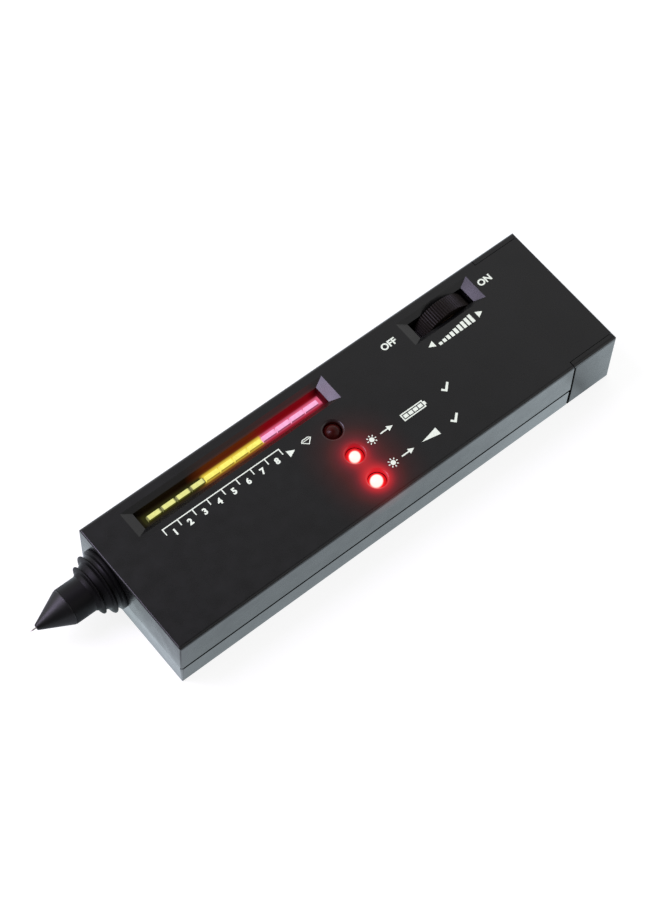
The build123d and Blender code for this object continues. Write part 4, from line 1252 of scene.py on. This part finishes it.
class TESTER_OT_stage(bpy.types.Operator):
    """Make the floor, the world, the soft light and the camera"""

    bl_idname = "tester.stage"
    bl_label = "Stage"

    # Painted glints that the sides mirror of the floor: place along X in millimetres, brightness
    glints = (
        (-110.0, 0.25), (-70.0, 0.30), (-65.5, 0.85), (-62.7, 1.60), (-61.0, 1.02),
        (-45.0, 0.98), (5.0, 1.00), (30.0, 1.06), (48.0, 1.26), (60.0, 1.42), (74.6, 1.48),
        (77.0, 1.05), (79.5, 1.45), (88.0, 2.15), (100.0, 2.3),
    )
    glint_reach, glint_tint = 0.12, (0.87, 1.0, 1.07)
    floor_gap, floor_grey, floor_seen = 0.03 * MM, 0.35, 0.85

    # Brightness of the world from level to straight up, and how its one side is dimmed
    sky = (
        (0.0, 1.0), (0.40, 0.85), (0.60, 0.78), (0.83, 0.68), (0.88, 0.42), (0.915, 0.15),
        (1.0, 0.10),
    )
    bright_side, dim_range, dim_level = (0.6, 0.8, 0.0), (-0.62, -0.25), 0.15

    # Directions from the tester to the lights, and of the lights' long sides
    key_side, strip_side, light_rise = (-0.39, 0.36, 0.85), (-0.53, 0.56, 0.62), (-0.22, -0.58, 0.64)
    light_distance, light_colour = 0.70, (0.78, 0.68, 1.0)
    camera_target, camera_sensor, camera_clip = (6.95 * MM, 3.36 * MM, 10.5 * MM), 36.0, 0.01

    def execute(self, context):
        values = context.scene.tester_stage
        context.scene.view_settings.view_transform = "Standard"
        self.floor(values)
        self.world(context)
        self.lights(context, values)
        self.camera(context, values)
        return {"FINISHED"}

    def floor(self, values):
        bm = bmesh.new()
        level = Matrix.Translation((0, 0, cad_box[0].z - self.floor_gap))
        bmesh.ops.create_grid(
            bm, x_segments=1, y_segments=1, size=values.floor_size / 2, matrix=level,
        )
        mesh = bpy.data.meshes.new("floor")
        bm.to_mesh(mesh)
        bm.free()
        made = bpy.data.objects.new("floor", mesh)
        bpy.context.scene.collection.objects.link(made)
        mesh.materials.append(self.floor_material())

    def floor_material(self):
        """Matt floor with a light of its own: pale where it is seen, with painted glints where
        mirrored.
        """
        material = bpy.data.materials.new("pale_floor")
        nodes = NodeTree(material, "Object", clear=True)
        reach = self.glint_reach
        along = nodes.fit(nodes.along("X"), -reach, reach)
        mirrored = nodes.ramp(along, [
            (0.5 + 0.5 * place * MM / reach, tuple(part * level for part in self.glint_tint))
            for place, level in self.glints
        ])
        ray = nodes.add("LightPath").outputs
        shown = nodes.sum("MAXIMUM", ray["Is Camera Ray"], ray["Is Glossy Ray"])
        shown = nodes.sum("MAXIMUM", shown, ray["Is Transmission Ray"])
        light = nodes.add("Emission")
        seen = nodes.mix(ray["Is Camera Ray"], mirrored, grey(self.floor_seen))
        nodes.feed(light.inputs["Color"], seen)
        nodes.feed(light.inputs["Strength"], shown)
        matt = nodes.add("BsdfDiffuse")
        matt.inputs["Color"].default_value = (*grey(self.floor_grey), 1.0)
        both = nodes.add("AddShader")
        nodes.feed(both.inputs[0], matt.outputs["BSDF"])
        nodes.feed(both.inputs[1], light.outputs["Emission"])
        nodes.feed(nodes.add("OutputMaterial").inputs["Surface"], both.outputs["Shader"])
        return material

    def world(self, context):
        """Pale studio round the tester, plain white where the camera sees it."""
        world = bpy.data.worlds.new("studio")
        context.scene.world = world
        nodes = NodeTree(world, "Generated", clear=True)
        sky = nodes.ramp(nodes.along("Z"), [(place, grey(level)) for place, level in self.sky])
        side = nodes.vector("DOT_PRODUCT", nodes.place, self.bright_side)["Value"]
        dimmed = nodes.add("VectorMath", operation="SCALE")
        nodes.feed(dimmed.inputs[0], sky)
        nodes.feed(
            dimmed.inputs["Scale"], nodes.fit(side, *self.dim_range, self.dim_level, 1.0),
        )
        seen = nodes.add("LightPath").outputs["Is Camera Ray"]
        backdrop = nodes.add("Background")
        nodes.feed(backdrop.inputs["Color"], nodes.mix(seen, dimmed.outputs["Vector"], WHITE))
        nodes.feed(nodes.add("OutputWorld").inputs["Surface"], backdrop.outputs["Background"])

    def lights(self, context, values):
        """A soft key light, and a long low one that draws the highlight on the nose."""
        short, long = values.key_size, values.strip_length
        self.soft_light(context, "soft_key", self.key_side, short, short, values.key_power)
        self.soft_light(context, "soft_strip", self.strip_side, long, short, values.strip_power)

    def soft_light(self, context, name, side, width, height, power):
        """An area light on one side of the tester, turned towards it."""
        away = Vector(side).normalized()
        data = bpy.data.lights.new(name, "AREA")
        data.shape = "RECTANGLE"
        data.size = width
        data.size_y = height
        data.energy = power
        data.color = self.light_colour
        lamp = bpy.data.objects.new(name, data)
        rise = Vector(self.light_rise)
        across = (rise - away * rise.dot(away)).normalized()
        turn = Matrix((across, away.cross(across), away)).transposed()
        lamp.matrix_world = Matrix.Translation(away * self.light_distance) @ turn.to_4x4()
        context.scene.collection.objects.link(lamp)

    def camera(self, context, values):
        turn = (
            Matrix.Rotation(values.azimuth, 3, "Z")
            @ Matrix.Rotation(math.pi / 2 - values.elevation, 3, "X")
            @ Matrix.Rotation(values.roll, 3, "Z")
        )
        place = Vector(self.camera_target) + turn.col[2] * values.camera_distance
        data = bpy.data.cameras.new("photo_camera")
        data.lens = values.camera_lens
        data.sensor_width = self.camera_sensor
        data.sensor_fit = "AUTO"
        data.clip_start = self.camera_clip
        made = bpy.data.objects.new("photo_camera", data)
        made.matrix_world = Matrix.Translation(place) @ turn.to_4x4()
        context.scene.collection.objects.link(made)
        context.scene.camera = made


# Add-on


class TESTER_PT_panel(bpy.types.Panel):
    """Lists the tester's pieces and their sizes"""

    bl_idname = "TESTER_PT_panel"
    bl_label = "Diamond tester"
    bl_space_type = "VIEW_3D"
    bl_region_type = "UI"
    bl_category = "Tester"

    def draw(self, context):
        for group, operators in rows:
            values = getattr(context.scene, group)
            column = self.layout.box().column(align=True)
            for operator in operators:
                column.operator(operator.bl_idname)
            for name in type(values).__annotations__:
                column.prop(values, name)


rows = (
    ("tester_case", (TESTER_OT_case,)),
    ("tester_nose", (TESTER_OT_nose,)),
    ("tester_wheel", (TESTER_OT_wheel,)),
    ("tester_light", (TESTER_OT_light_bar, TESTER_OT_lamps)),
    ("tester_legend", (TESTER_OT_legend,)),
    ("tester_inside", (TESTER_OT_inside,)),
    ("tester_stage", (TESTER_OT_stage,)),
)
groups = (
    TesterCaseSettings, TesterNoseSettings, TesterWheelSettings, TesterLightSettings,
    TesterLegendSettings, TesterInsideSettings, TesterStageSettings,
)


def register():
    for (name, operators), group in zip(rows, groups):
        bpy.utils.register_class(group)
        setattr(bpy.types.Scene, name, PointerProperty(type=group))
        for operator in operators:
            bpy.utils.register_class(operator)
    bpy.utils.register_class(TESTER_PT_panel)


def unregister():
    bpy.utils.unregister_class(TESTER_PT_panel)
    for (name, operators), group in reversed(list(zip(rows, groups))):
        for operator in reversed(operators):
            bpy.utils.unregister_class(operator)
        delattr(bpy.types.Scene, name)
        bpy.utils.unregister_class(group)


def main():
    register()
    bpy.ops.tester.case()
    bpy.ops.tester.nose()
    bpy.ops.tester.wheel()
    bpy.ops.tester.light_bar()
    bpy.ops.tester.lamps()
    bpy.ops.tester.legend()
    bpy.ops.tester.inside()
    bpy.ops.tester.stage()


if __name__ == "__main__":
    main()
